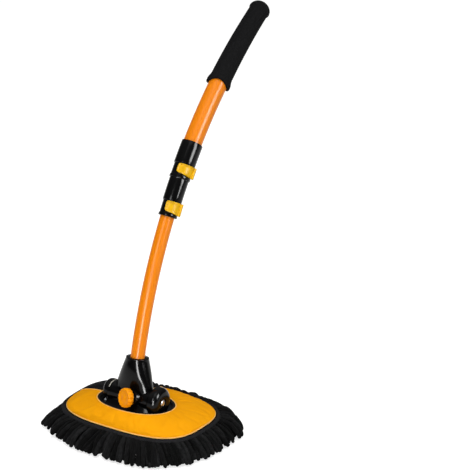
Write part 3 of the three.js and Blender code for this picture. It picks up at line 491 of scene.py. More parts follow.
def lower_behind(points, rise=1.0):
    """The crown stands less high behind the turret than in front of it, and its rings follow."""
    behind = np.clip((points[:, 1] - OPENING_SHIFT + OPENING_HALF[1]) / (2 * OPENING_HALF[1]), 0, 1)
    return points - np.outer(PANEL_BACK_DROP * rise * behind, (0, 0, 1))


def crown_ring(share, drop, outset=0.0):
    """A ring on the crown, at a share of the way from the rim to the opening."""
    def mix(start, end):
        return start + (end - start) * share

    rise = (1 - (1 - share) ** CROWN_ROUNDNESS) ** (1 / CROWN_ROUNDNESS)
    outline = oval(
        mix(PANEL_HALF[0], OPENING_HALF[0]) + outset,
        mix(PANEL_HALF[1], OPENING_HALF[1]) + outset,
        mix(PANEL_SQUARENESS, OPENING_SQUARENESS),
        ROUND_POINTS,
    )
    return lower_behind(level(outline, PANEL_TOP + PANEL_RISE * rise - drop, OPENING_SHIFT * share), rise)


def simulate_fabric(piece, pinned, pressure, slack, cap_mm, frames=20):
    """Blows a pinned sheet up from below, caps how far each point moves, and leaves plain mesh."""
    start = np.array([vertex.co[:] for vertex in piece.data.vertices])
    seams = piece.vertex_groups.new(name="seams")
    seams.add(pinned, 1.0, "REPLACE")
    cloth = piece.modifiers.new("fabric", "CLOTH")
    cloth.settings.vertex_group_mass = "seams"
    cloth.settings.use_pressure = True
    cloth.settings.uniform_pressure_force = pressure
    cloth.settings.shrink_min = -slack
    cloth.settings.effector_weights.gravity = 0
    cloth.point_cache.frame_start, cloth.point_cache.frame_end = 1, frames
    for number in range(1, frames + 1):
        scene.frame_set(number)
    evaluated = piece.evaluated_get(bpy.context.evaluated_depsgraph_get())
    moved = np.array([vertex.co[:] for vertex in evaluated.data.vertices]) - start
    piece.modifiers.clear()
    length = np.linalg.norm(moved, axis=1, keepdims=True)
    moved *= np.minimum(1, cap_mm * MM / np.maximum(length, 1e-9))
    for vertex, co in zip(piece.data.vertices, start + moved):
        vertex.co = co
    scene.frame_set(1)
    print("the fabric moved by up to", round(float(length.max()) / MM, 2), "mm before the cap")


# %% [markdown]
# Round the back left, a stretch of the top between the rim and the opening is black knit. It is made as a
# stretch of the same sheet in its own finish, with the sheet held down at its two seams, where a separate
# patch would have to be laid over the swollen top.

# %% Sew the top
BLACK_STRETCH_COLUMNS = (65, 121)
# The rows stand closer together near the rim, where the crown bends most.
crown_rows = [crown_ring(share, 0) for share in np.linspace(0, 1, 23) ** 1.25]
# The edge is tucked in at both seams. Each tuck: drop and outset in millimetres
rim_tuck = [crown_ring(0, drop, outset) for drop, outset in ((2.6, -1.0), (1.9, 0.1), (0.9, 0.35))]
inner_tuck = [crown_ring(1, drop, outset) for drop, outset in ((0.5, -0.7), (1.5, -0.9))]
rows = [*rim_tuck, *crown_rows, *inner_tuck]
points, faces = lofted(rows)
top = make_mesh("padded_fabric_top", points, faces[:-2])
rim_rows, inner_rows = range(len(rim_tuck)), range(len(rows) - 2 * len(inner_tuck), len(rows))
pinned = [
    *(row * ROUND_POINTS + column for row in (*rim_rows, *inner_rows) for column in range(ROUND_POINTS)),
    *(row * ROUND_POINTS + column for row in range(len(rows)) for column in BLACK_STRETCH_COLUMNS),
]
simulate_fabric(top, sorted(set(pinned)), pressure=4.0, slack=0.02, cap_mm=1.4)
FABRIC_THICKNESS = 2.2
thick = top.modifiers.new("thickness", "SOLIDIFY")
thick.thickness = FABRIC_THICKNESS * MM
thick.offset = -1
thick.use_even_offset = False
black_stretch_faces = [
    row * ROUND_POINTS + column for row in range(len(rows) - 1) for column in range(*BLACK_STRETCH_COLUMNS)
]
top.data.materials.append(orange_knit)
top.data.materials.append(black_knit)
for index in black_stretch_faces:
    top.data.polygons[index].material_index = 1
bake(top)
finish_piece(top, "head", None, ["cover_panel"], crease=60)

# %% [markdown]
# ## Piping, tapes and stitches
# A thin piping closes the seam at the rim and at the opening, and its lighter orange is a painted highlight
# along the seam. Outside it a flat black tape covers the sewn edge of the chenille, and a rolled black
# binding finishes the opening. All four run round an oval, so one helper sweeps a small section along it.
# The stitches are real little bars of thread, because a row painted on would have no relief.

# %% Sweep the trims round the pad
OPENING_TOP = PANEL_TOP + PANEL_RISE


def ring_by(half, outset, height, count=ROUND_POINTS):
    """A ring this far outside the pad's rim, or outside its opening, where it follows the crown."""
    length, width = half[0] + outset, half[1] + outset
    if half is OPENING_HALF:
        return lower_behind(level(oval(length, width, OPENING_SQUARENESS, count), height, OPENING_SHIFT))
    return level(oval(length, width, PANEL_SQUARENESS, count), height)


def around(section, half, height):
    """A section of outset and height points, swept round the rim or the opening."""
    return lofted([ring_by(half, out, height + up) for out, up in section], closes=True)


def cord_section(outset, radius_out, radius_up, sides=12):
    """The oval section of a cord whose middle lies this far outside the line that it follows."""
    return [
        (outset + radius_out * math.cos(angle), radius_up * math.sin(angle))
        for angle in np.linspace(0, 2 * math.pi, sides, endpoint=False)
    ]


def trim(name, shape, finish, replaces=()):
    """A finished piece of the pad's trimming."""
    return finish_piece(make_mesh(name, *shape), "head", finish, replaces)


RIM_PIPING, OPENING_PIPING, BLACK_STRETCH_PIPING = 0.95, 0.85, 0.7
rim_cord = cord_section(0.5, RIM_PIPING, RIM_PIPING)
opening_cord = cord_section(-0.9, OPENING_PIPING, OPENING_PIPING)
trim("rim_piping", around(rim_cord, PANEL_HALF, PANEL_TOP - 1.4), piping_with_painted_highlight)
trim("opening_piping", around(opening_cord, OPENING_HALF, OPENING_TOP - 0.3), piping_with_painted_highlight)
for number, column in enumerate(BLACK_STRETCH_COLUMNS, 1):
    # The cord is sunk in the fabric by a little more than a third of its thickness.
    path = np.array([crown_ring(share, -BLACK_STRETCH_PIPING * 0.3)[column] for share in np.linspace(0, 1, 20)])
    cord = lofted(list(rings_along(path, BLACK_STRETCH_PIPING, (0, 0, 1))))
    trim(f"black_stretch_piping_{number}", cord, piping_with_painted_highlight)

# The tape dips beside the piping and again at the chenille.
tape_section = rounded([(1.2, -2.8), (7.4, -3.2), (7.6, -1.9), (5.2, 0.1), (3.4, 0.2), (1.9, -1.6)], 0.6)
trim("seam_tape_cover", around(tape_section, PANEL_HALF, PANEL_TOP - 1.8), black_tape, ["seam_tape"])
BINDING_OUTSET = -2.9
binding_section = cord_section(BINDING_OUTSET, 1.9, 2.6, 16)
binding_shape = around(binding_section, OPENING_HALF, OPENING_TOP - 2.1)
trim("rolled_binding", binding_shape, black_tape, ["opening_binding"])

# %% Lay the stitches
STITCH_PITCH, THREAD_RADIUS, STITCH_SINK = 4.2, 0.38, 0.35
# Places along a stitch, in half lengths from its middle, and the thread's thickness there as a share
STITCH_SHARES = ((-1, 0.25), (-0.75, 0.8), (0, 1.0), (0.75, 0.8), (1, 0.25))


def stitch_row(name, half, outset, height):
    """Bars of thread along the rim or the opening, one per stitch, each sunk at its ends."""
    steps = np.diff(ring_by(half, outset, 0, 720)[:, :2], axis=0)
    count = int(np.linalg.norm(steps, axis=1).sum() / STITCH_PITCH)
    path = ring_by(half, outset, height, count * 2)
    stitches = []
    for start, end in zip(path[::2], path[1::2]):
        middle = (start + end) / 2
        run = (end - start) / np.linalg.norm(end - start)
        out = np.array([run[1], -run[0], 0.0])
        lift = np.cross(out, run)
        rings = []
        for share, thickness in STITCH_SHARES:
            centre = middle + run * share * STITCH_PITCH * 0.32 - lift * (share ** 2) * STITCH_SINK
            rings.append(np.array([
                centre + (out * math.cos(angle) + lift * math.sin(angle)) * THREAD_RADIUS * thickness
                for angle in np.linspace(0, 2 * math.pi, 6, endpoint=False)
            ]))
        stitches.append(lofted(rings))
    return trim(name, joined(stitches), sewing_thread)


stitch_row("tape_stitches", PANEL_HALF, 4.4, PANEL_TOP - 1.75)
stitch_row("binding_stitches", OPENING_HALF, BINDING_OUTSET, OPENING_TOP + 0.5)

# %% [markdown]
# ## Chenille noodles
# The fringe and the wash face are hundreds of noodles of chenille, each about 6 mm thick and sewn in by
# its root. On the brush they spread out and droop under their own weight, and every one lies a little
# differently. Each noodle is swept along a curve of three points, with a swelling and narrowing radius
# for its knobbly pile and a round tip. The random numbers have a fixed seed, so every run grows the same
# brush.

# %% Sweep one noodle
# Radians of the wave that swells and narrows a noodle from its root to its tip
KNOB_WAVE = 21
LOWEST = 0.05


def noodle(root, middle, tip, radius, uneven, phase, steps):
    """Rings of a noodle along a curve from its root past a middle point to its tip, in millimetres."""
    shares = np.concatenate([np.linspace(0, 0.9, steps - 3), [0.95, 0.985, 1.0]])
    sizes = np.concatenate([np.ones(steps - 3), [0.93, 0.66, 0.2]])
    sizes = sizes * (1 + uneven * np.sin(phase + shares * KNOB_WAVE))
    path = (
        np.outer((1 - shares) ** 2, root)
        + np.outer(2 * shares * (1 - shares), middle)
        + np.outer(shares ** 2, tip)
    )
    first = path[1] - path[0]
    steep = abs(first[2]) >= 0.8 * np.linalg.norm(first)
    return rings_along(path, radius * sizes, (0.96, 0.2, 0.1) if steep else (0.31, 0.17, 0.93))


def bundle(name, noodles, replaces, backing=()):
    """Joins many noodles, and the backing that they are sewn to, in one piece that rests on the ground."""
    shapes = []
    for rings in noodles:
        rings[..., 2] = np.maximum(rings[..., 2], LOWEST)
        shapes.append(lofted(list(rings)))
    piece = make_mesh(name, *joined([*shapes, *backing]))
    return finish_piece(piece, "head", chenille_yarn, replaces, crease=70)


# %% [markdown]
# ## The fringe
# Four layers of noodles leave the side band one under another. The top layer reaches furthest and lies
# over the rest, and the lowest hangs almost straight down. The noodles aren't even all round: along the
# back they stand out before they droop, at the back left they are shorter and hang, along the front they
# are pulled out further, and at the right end they are drawn in a little. Each of these habits eases in
# and out over a stretch of the rim. The fringe is in two halves, as it is sewn, front and back.

# %% Habits of the noodles round the rim
# Degrees from the right end, round by the back, where a habit sets in, is full, starts to fade and is gone
STANDING, HANGING = (12, 34, 112, 130), (124, 140, 192, 212)
PULLED, DRAWN_IN = (218, 256, 300, 326), (320, 330, 366, 384)


def eased(value, start, end):
    """0 before the start, 1 after the end and a smooth change between them."""
    share = min(1, max(0, (value - start) / (end - start)))
    return share * share * (3 - 2 * share)


def habit(root, sets_in, full, fades, gone):
    """How far a noodle with this root follows a habit, from 0 to 1."""
    angle = (math.degrees(math.atan2(root[1], root[0])) - sets_in) % 360 + sets_in
    return eased(angle, sets_in, full) * (1 - eased(angle, fades, gone))


# %% Grow the fringe
dice = np.random.default_rng(7)
BAND_OUT, BAND_BOTTOM, BAND_TOP, ROOT_INSET = 6.4, 18.5, 27.4, 2.6
REACH_HALF = (132.0, 90.3)
FRINGE_RADIUS = 3.1
# Each layer: root height, reach share, tip height, shares of the way out and down at its bend, noodles
fringe_layers = [
    (25.2, 0.98, 3.4, 0.62, 0.10, 94),
    (23.4, 0.88, 3.2, 0.55, 0.16, 98),
    (21.2, 0.70, 3.4, 0.50, 0.24, 104),
    (19.4, 0.46, 3.2, 0.42, 0.34, 92),
]


def fringe_outline(share, count):
    """The oval that lies at a share of the way from the side band to the fringe's reach."""
    size = (p + BAND_OUT + (r - p - BAND_OUT) * share for p, r in zip(PANEL_HALF, REACH_HALF))
    return oval(*size, PANEL_SQUARENESS, count)


halves = {"fringe_front": [], "fringe_back": []}
for root_height, reach, tip_height, bend_out, bend_down, count in fringe_layers:
    turn = int(dice.integers(0, 4))
    places = count * 4
    roots = oval(PANEL_HALF[0] + BAND_OUT - ROOT_INSET, PANEL_HALF[1] + BAND_OUT - ROOT_INSET,
                 PANEL_SQUARENESS, places)
    for i in range(count):
        at = (4 * i + turn) % places
        root = roots[at]
        out, down = habit(root, *STANDING), habit(root, *HANGING)
        pull = 0.75 * habit(root, *PULLED) - 0.18 * habit(root, *DRAWN_IN)
        radius = FRINGE_RADIUS + dice.normal(0, 0.22)
        own_reach = (reach + pull + dice.normal(0, 0.08)) * (1 - 0.52 * down)
        tip_at = (at + int(round(dice.normal(0, 1.5)))) % places
        middle_at = (at + int(round(dice.normal(0, 0.9)))) % places
        tip = fringe_outline(own_reach, places)[tip_at]
        middle = fringe_outline(own_reach * (bend_out + 0.22 * out), places)[middle_at]
        tip_z = max(radius, tip_height + dice.normal(0, 0.9))
        fall_share = bend_down + dice.normal(0, 0.06) - 0.42 * out + 0.3 * down
        middle_z = root_height - (root_height - tip_z) * fall_share
        phase = dice.uniform(0, 6.28)
        ends = (*root, root_height), (*middle, middle_z), (*tip, tip_z)
        half = "fringe_front" if root[1] < 0 else "fringe_back"
        halves[half].append(noodle(*ends, radius, uneven=0.09, phase=phase, steps=12))

for node, noodles in halves.items():
    bundle("chenille_" + node, noodles, [node])
BAND_INNER, BAND_ROUNDING = 0.6, 1.2
band_section = rounded([
    (BAND_INNER, BAND_BOTTOM), (BAND_OUT, BAND_BOTTOM), (BAND_OUT, BAND_TOP), (BAND_INNER, BAND_TOP),
], BAND_ROUNDING)
band = make_mesh("fringe_side_band", *around(band_section, PANEL_HALF, 0))
finish_piece(band, "head", chenille_yarn, crease=60)

# %% [markdown]
# ## The wash face
# Under the pad the noodles stand close together on a woven backing, and the ones the brush rests on are
# pressed flat at their tips. They are set out in offset rows, so each fills the gap between two others.

# %% Grow the wash face
PITCH, FACE_INSET, FACE_RADIUS = 7.6, 5, 2.9
FACE_ROOT, FACE_MIDDLE, FACE_TIP = 19.2, 9.0, 0.4
BACKING_INSET, BACKING_HEIGHTS = 0.4, (18.5, 21.2)
face_half = [half - FACE_INSET for half in PANEL_HALF]
row_pitch = PITCH * math.sin(math.radians(60))
face_noodles = []
for row in range(-9, 10):
    for column in range(-14, 15):
        x = (column + (row % 2) / 2) * PITCH + dice.normal(0, 0.5)
        y = row * row_pitch + dice.normal(0, 0.5)
        if abs(x / face_half[0]) ** PANEL_SQUARENESS + abs(y / face_half[1]) ** PANEL_SQUARENESS > 1:
            continue
        lean, bulge = dice.normal(0, 1.7, 2), dice.normal(0, 1.9, 2)
        tip_z = FACE_TIP + abs(dice.normal(0, 0.6))
        radius = FACE_RADIUS + dice.normal(0, 0.12)
        phase = dice.uniform(0, 6.28)
        middle = (x + bulge[0], y + bulge[1], FACE_MIDDLE)
        ends = (x, y, FACE_ROOT), middle, (x + lean[0], y + lean[1], tip_z)
        face_noodles.append(noodle(*ends, radius, uneven=0.05, phase=phase, steps=8))
backing = lofted([ring_by(PANEL_HALF, -BACKING_INSET, height, count=120) for height in BACKING_HEIGHTS])
bundle("chenille_wash_face", face_noodles, ["wash_face"], [backing])
print("noodles in the wash face:", len(face_noodles))

# %% [markdown]
# ## Foam core and base shell
# A pad of open foam fills the space between the wash face and the shell, and swells a little at its
# sides. The base shell is a dish of black polypropylene whose sunk seat shows round the turret. Both are
# lofted through the same rings as the top, only lower.

# %% Build the core and the shell
def seat_ring(inset, height):
    """A level ring inside the opening, which doesn't follow the crown."""
    size = (half - inset for half in OPENING_HALF)
    return level(oval(*size, OPENING_SQUARENESS, ROUND_POINTS), height, OPENING_SHIFT)


CROWN_SHARES = (0.12, 0.24, 0.36, 0.52, 0.68, 0.84)
CORE_DROP, SHELL_TOP_DROP, SHELL_UNDER_DROP = 6.1, 3.3, 5.8
# Each ring of the foam's swollen side: inset from the rim, and height
core_side = ((4.5, 21.5), (2.2, 21.9), (1.0, 23.2), (1.0, 24.6), (3.0, 26.0))
core = make_mesh("foam_pad_core", *lofted([
    *(ring_by(PANEL_HALF, -inset, height) for inset, height in core_side),
    *(crown_ring(share, CORE_DROP) for share in CROWN_SHARES),
    ring_by(OPENING_HALF, 0.3, 41.6), seat_ring(0.6, 35.6), seat_ring(2.2, 33.0),
]))
finish_piece(core, "head", open_grey_foam, ["foam_core"], crease=60)

SEAT_HEIGHT, SHELL_WALL = 38.6, 2.5
shell = make_mesh("moulded_base_shell", *lofted([
    seat_ring(5.4, SEAT_HEIGHT), ring_by(OPENING_HALF, -2.7, 44.3), ring_by(OPENING_HALF, -2.2, 44.7),
    *(crown_ring(share, SHELL_TOP_DROP) for share in (*reversed(CROWN_SHARES), 0)),
    *(crown_ring(share, SHELL_UNDER_DROP) for share in (0, *CROWN_SHARES)),
    ring_by(OPENING_HALF, 0.0, 42.2), seat_ring(SHELL_WALL, SEAT_HEIGHT - SHELL_WALL),
]))
HINGE = np.array([0.0, -14.5, 55.5])
SCREW_PLACES = [(side * 36.0, HINGE[1] + end * 14.0) for side in (-1, 1) for end in (-1, 1)]
SCREW_HOLE = 2.3
combine(shell, [
    make_mesh("hole", *moved(rod(SCREW_HOLE, 30, 45), (x, y, 0))) for x, y in SCREW_PLACES
], "DIFFERENCE")
finish_piece(shell, "head", satin_black_polypropylene, ["base_shell"])

# %% [markdown]
# ## Turret
# The turret is one glossy moulding: a foot that follows the oval of the opening, a saddle under the
# neck's barrel, a rounded cheek at each end for the hinge pin, and a short boss that the lock knob screws
# into. It is built as a moulder sees it, from turned and lofted volumes that are joined, with the neck's
# room and the bores cut out.

# %% Join and cut the turret
KNOB_TURN, KNOB_TILT, KNOB_AIM = math.radians(22.6), math.radians(15), 16.0
knob_axis = Vector((
    -math.sin(KNOB_TURN) * math.cos(KNOB_TILT),
    -math.cos(KNOB_TURN) * math.cos(KNOB_TILT),
    math.sin(KNOB_TILT),
))
along_knob = (
    Matrix.Translation(Vector(HINGE) * MM + Vector((KNOB_AIM * MM, 0, 0)))
    @ Vector((0, 0, 1)).rotation_difference(knob_axis).to_matrix().to_4x4()
)
along_hinge = Matrix.Translation(Vector(HINGE) * MM) @ Matrix.Rotation(math.radians(90), 4, "Y")
at_hinge = Matrix.Translation(Vector(HINGE) * MM)


def placed(name, shape, matrix):
    """A mesh made from a shape in millimetres and moved to its place."""
    made = make_mesh(name, *shape)
    made.data.transform(matrix)
    return made


SADDLE_RADIUS, CHEEK_INNER = 16.8, 34.1
HEAD_CHEEK = {"radius": 20.0, "reach": 47.0, "rounding": 8.0}
CLIP_CHEEK = {"radius": 14.2, "reach": 42.6, "rounding": 6.0}
BARREL_RADIUS, BARREL_HALF = 13.0, 32.0
FOOT_BOTTOM, FOOT_TOP = -16.6, -13.6


def cheek_profile(radius, reach, rounding):
    """Radius and place along the hinge, from the saddle out to the middle of the cheek's face."""
    curve = [
        (radius - rounding * (1 - math.cos(angle)), reach - rounding * (1 - math.sin(angle)))
        for angle in np.linspace(0, math.pi / 2, 9)
    ]
    step = abs(radius - SADDLE_RADIUS)
    return [(SADDLE_RADIUS, CHEEK_INNER - step), (radius, CHEEK_INNER), *curve, (0, reach)]


head_side = cheek_profile(**HEAD_CHEEK)
clip_side = [(radius, -x) for radius, x in reversed(cheek_profile(**CLIP_CHEEK))]
turret = placed("turret_moulding", turned(clip_side + head_side, 96), along_hinge)
# Each ring of the foot: half length, half width, and height from the hinge
foot_steps = [
    (47, 26, FOOT_BOTTOM), (47, 26, FOOT_TOP - 0.9), (46.7, 25.7, FOOT_TOP - 0.35),
    (45.9, 24.9, FOOT_TOP - 0.05), (44.6, 23.4, FOOT_TOP + 0.4), (43.6, 21.0, FOOT_TOP + 3.0),
    (42.6, 18.0, -5.0), (42, 16, 0),
]
foot_rings = [level(oval(length, width, 2.4, 160), height) for length, width, height in foot_steps]
foot = placed("foot", lofted(foot_rings), at_hinge)
boss = placed("boss", soft_rod(8, 12, 24.2, 0.7), along_knob)
collar = placed("collar", turned(rounded([(0, 12), (10.4, 12), (9.6, 19.2), (0, 19.2)], 0.8)), along_knob)
combine(turret, [foot, boss, collar], "UNION")

# %% Cut the neck's room and the bores
NECK_LEAN, TILT_FORWARD, TILT_BACK = math.radians(10), math.radians(8), math.radians(55)
NECK_LENGTH, NECK_TOP_RADIUS, RUNNING_GAP = 52.0, 15.25, 0.6
wall = BARREL_RADIUS + RUNNING_GAP
flare = math.atan((NECK_TOP_RADIUS - BARREL_RADIUS) / NECK_LENGTH)
front, back = NECK_LEAN - TILT_FORWARD - flare, NECK_LEAN + TILT_BACK + flare
far = NECK_LENGTH * 2
swing_outline = [
    (-wall * math.cos(front), wall * math.sin(front)),
    (far * math.sin(front) - wall * math.cos(front), far * math.cos(front) + wall * math.sin(front)),
    (far, far),
    (far * math.sin(back) + wall * math.cos(back), far * math.cos(back) - wall * math.sin(back)),
    (wall * math.cos(back), -wall * math.sin(back)),
    (0, 0),
]
POCKET_HALF = 34.1
swing_room = placed("swing_room", lofted([
    np.array([(x, y, z) for y, z in swing_outline]) for x in (-POCKET_HALF, POCKET_HALF)
]), at_hinge)
cutters = [
    swing_room,
    placed("barrel_room", rod(wall, -POCKET_HALF, POCKET_HALF, 96), along_hinge),
    placed("below", lofted([level(oval(120, 120, 9, 8), z) for z in (-60, FOOT_BOTTOM)]), at_hinge),
    placed("pin_bore", rod(3.3, -60, 60), along_hinge),
    placed("head_bore", rod(6.1, 43.2, 60), along_hinge),
    placed("clip_bore", rod(6.1, -60, -38.8), along_hinge),
    placed("shoe_bore", rod(5.3, 0, 18.1), along_knob),
    placed("stud_bore", rod(3.3, 0, 40), along_knob),
]
cutters += [
    placed("pilot", moved(rod(SCREW_HOLE, -30, -7.1), (x, y - HINGE[1], 0)), at_hinge)
    for x, y in SCREW_PLACES
]
combine(turret, cutters, "DIFFERENCE")
soften_edges(turret, width=0.45, sharpest=40)
finish_piece(turret, "head", gloss_black_abs, ["turret_housing"], crease=50)

# %% [markdown]
# ## Lock knob
# The knob is a thick disc with sixteen finger scallops round it and a shallow dished face. Its rings are
# the same scalloped circle at different depths, so the scallops fade out towards the middle of the face
# as on the real one.

# %% Shape the knob
SCALLOPS, KNOB_RADIUS, KNOB_BACK = 16, 12.8, 24.5


def scalloped(radius, depth, height, count=256):
    """A circle with scallops of this depth."""
    angle = np.linspace(0, 2 * np.pi, count, endpoint=False)
    reach = radius - depth / 2 * (1 - np.cos(angle * SCALLOPS))
    return np.column_stack([reach * np.cos(angle), reach * np.sin(angle), np.full(count, height)])


# Each ring, from the bore round to the face: radius, depth of the scallops, height over the knob's back
knob_steps = [
    (3.4, 0, 6.0), (3.4, 0, 0), (11.4, 0.5, 0), (12.3, 0.9, 0.25), (KNOB_RADIUS, 1.1, 1.0),
    (KNOB_RADIUS, 1.1, 7.2), (12.5, 1.0, 8.0), (11.8, 0.7, 8.5), (10.6, 0.2, 8.6), (9.9, 0, 8.35),
    (9.2, 0, 7.9), (6.0, 0, 7.7), (3.0, 0, 7.75), (2.4, 0, 8.1), (1.2, 0, 8.35),
]
knob_rings = [scalloped(radius, depth, KNOB_BACK + height) for radius, depth, height in knob_steps]
knob = placed("scalloped_lock_knob", lofted(knob_rings), along_knob)
finish_piece(knob, "lock_knob", orange_abs, ["lock_knob"], crease=50)

# %% [markdown]
# ## Neck
# The neck starts as a wide barrel between the cheeks and narrows to a round socket for the pole. Each
# ring of the loft is an oval that turns from the barrel's flat shape into the socket's circle. The hinge
# barrel is a turned solid joined to it, and the pole's bore is cut along the bend.

# %% The pole's bend
POLE_RADIUS, POLE_LEAN = 650.0, math.radians(13.7)
neck_top = HINGE + NECK_LENGTH * np.array([0, math.sin(NECK_LEAN), math.cos(NECK_LEAN)])


def bend(points):
    """Carries points whose Z is a place along the pole to where the bend puts them."""
    points = np.asarray(points, float)
    angle = POLE_LEAN + points[:, 2] / POLE_RADIUS
    return np.column_stack([
        points[:, 0] + neck_top[0],
        neck_top[1] + POLE_RADIUS * (math.cos(POLE_LEAN) - np.cos(angle)) + points[:, 1] * np.cos(angle),
        neck_top[2] + POLE_RADIUS * (np.sin(angle) - math.sin(POLE_LEAN)) - points[:, 1] * np.sin(angle),
    ])


def bent_turned(profile, sides=64, longest=8):
    """A turned profile that follows the pole's bend."""
    points, faces = turned(stepped(profile, longest), sides)
    return bend(points), faces


# %% Loft the neck
LOWER_TUBE, MIDDLE_TUBE, UPPER_TUBE, TUBE_WALL = 9.5, 11.0, 12.5, 1.0
NECK_SWELL = 2.2
neck_rings = []
for share in np.linspace(0, 1, 21):
    # The swell starts above the knob's boss, so that the neck still tilts past it.
    swell = NECK_SWELL * math.sin(math.pi * min(1, max(0, (share - 0.3) / 0.7))) ** 1.2
    half_x = BARREL_HALF + (NECK_TOP_RADIUS - BARREL_HALF) * share
    half_y = BARREL_RADIUS + (NECK_TOP_RADIUS - BARREL_RADIUS) * share + swell
    neck_rings.append(level(oval(half_x, half_y, 2.15 - 0.15 * share, 128), (NECK_LENGTH - 1.2) * share))
for inset, height in ((0.05, NECK_LENGTH - 0.45), (0.2, NECK_LENGTH - 0.15), (0.6, NECK_LENGTH)):
    neck_rings.append(level(oval(NECK_TOP_RADIUS - inset, NECK_TOP_RADIUS - inset, 2, 128), height))
lean_back = at_hinge @ Matrix.Rotation(-NECK_LEAN, 4, "X")
neck = placed("moulded_neck", lofted(neck_rings), lean_back)
barrel = placed("barrel", soft_rod(BARREL_RADIUS, -BARREL_HALF, BARREL_HALF, 0.8, sides=96), along_hinge)
combine(neck, [barrel], "UNION")
POLE_BORE, BORE_FLOOR, SCREW_DEPTH = LOWER_TUBE + 0.3, -36.3, 14
pole_bore = make_mesh("pole_bore", *bent_turned([
    (0, BORE_FLOOR), (POLE_BORE, BORE_FLOOR), (POLE_BORE, 5), (0, 5),
]))
screw_angle = POLE_LEAN - SCREW_DEPTH / POLE_RADIUS
screw_point = bend([(0, 0, -SCREW_DEPTH)])[0]
screw_inward = Vector((0, math.cos(screw_angle), -math.sin(screw_angle)))
along_screw = (
    Matrix.Translation(Vector(screw_point) * MM)
    @ Vector((0, 0, 1)).rotation_difference(screw_inward).to_matrix().to_4x4()
)
combine(neck, [
    pole_bore,
    placed("hinge_bore", rod(3.3, -40, 40), along_hinge),
    placed("screw_bore", rod(1.8, 7.5, 20, 24), along_screw),
    placed("screw_recess", rod(3.9, 13.9, 20, 32), along_screw),
], "DIFFERENCE")
soften_edges(neck, width=0.4, sharpest=45)
finish_piece(neck, "neck", gloss_black_abs, ["neck_socket"], crease=50)

# %% [markdown]
# ## Tubes
# Each tube is a turned ring, bent after it is turned, with lips rounded where the saw's burr was taken
# off. It gets a point every few millimetres along its length, because a bend shows every long flat as a
# kink in the highlight.

# %% Turn and bend the tubes
def tube(name, radius, start, end, body, material, node):
    """A thin-walled tube between two places along the pole."""
    wall_profile = rounded([
        (radius, start), (radius, end), (radius - TUBE_WALL, end), (radius - TUBE_WALL, start),
    ], 0.3, 2)
    made = make_mesh(name, *bent_turned(wall_profile, 72))
    return finish_piece(made, body, material, [node], crease=60)


LOWER_CLAMP, UPPER_CLAMP = 187.5, 239.2
FLANGE, LOWER_ZONE, UPPER_ZONE = 3.6, 17.2, 15.7
TUBE_SEAT, UPPER_TUBE_END, MIDDLE_TUBE_END, LOWER_TUBE_END = 2.0, 498.5, 480.5, 456.5
LOWER_TUBE_START = -36
MIDDLE_TUBE_START = LOWER_CLAMP + FLANGE + LOWER_ZONE + TUBE_SEAT
UPPER_TUBE_START = UPPER_CLAMP + FLANGE + UPPER_ZONE + TUBE_SEAT
tube("thin_orange_tube", LOWER_TUBE, LOWER_TUBE_START, LOWER_TUBE_END,
     "neck", orange_powder_coat, "lower_tube")
tube("middle_bare_tube", MIDDLE_TUBE, MIDDLE_TUBE_START, MIDDLE_TUBE_END,
     "middle", drawn_aluminium, "middle_tube")
tube("thick_orange_tube", UPPER_TUBE, UPPER_TUBE_START, UPPER_TUBE_END,
     "upper", orange_powder_coat, "upper_tube")

# %% [markdown]
# ## Clamps
# A clamp is a moulded sleeve: a flange, a thinner ring that the lever squeezes, and a longer sleeve glued
# over the next tube. A lug on the ring carries the lever's pin, and a window lets the lever's cam press
# the pad. It is turned and cut straight, which keeps the cuts simple, and bent last.

# %% Build a clamp
PIVOT_ANGLE, PAD_SPAN = math.radians(15), math.radians(36)
PIN_RADIUS, EYE_RADIUS, LUG_RADIUS, LUG_HALF = 1.0, 2.3, 1.6, 2.5
BORE_GAP, RING_WALL, SLEEVE_WALL, FLANGE_WALL = 0.35, 1.85, 1.8, 0.8
toward_pin, beside_pin = (
    np.array([math.cos(angle), math.sin(angle), 0]) for angle in (PIVOT_ANGLE, PIVOT_ANGLE + math.pi / 2)
)


def pin_block(corners, low, high):
    """A block between two heights, whose corners are given toward and beside the lever's pin."""
    return lofted([
        np.array([toward_pin * x + beside_pin * y + (0, 0, z) for x, y in corners]) for z in (low, high)
    ])


def sector(inner, outer, start, end, low, high, steps=14):
    """A curved block between two radii, two angles and two heights."""
    corners = ((inner, low), (outer, low), (outer, high), (inner, high))
    return lofted([
        np.array([(math.cos(angle) * radius, math.sin(angle) * radius, z) for radius, z in corners])
        for angle in np.linspace(start, end, steps)
    ])


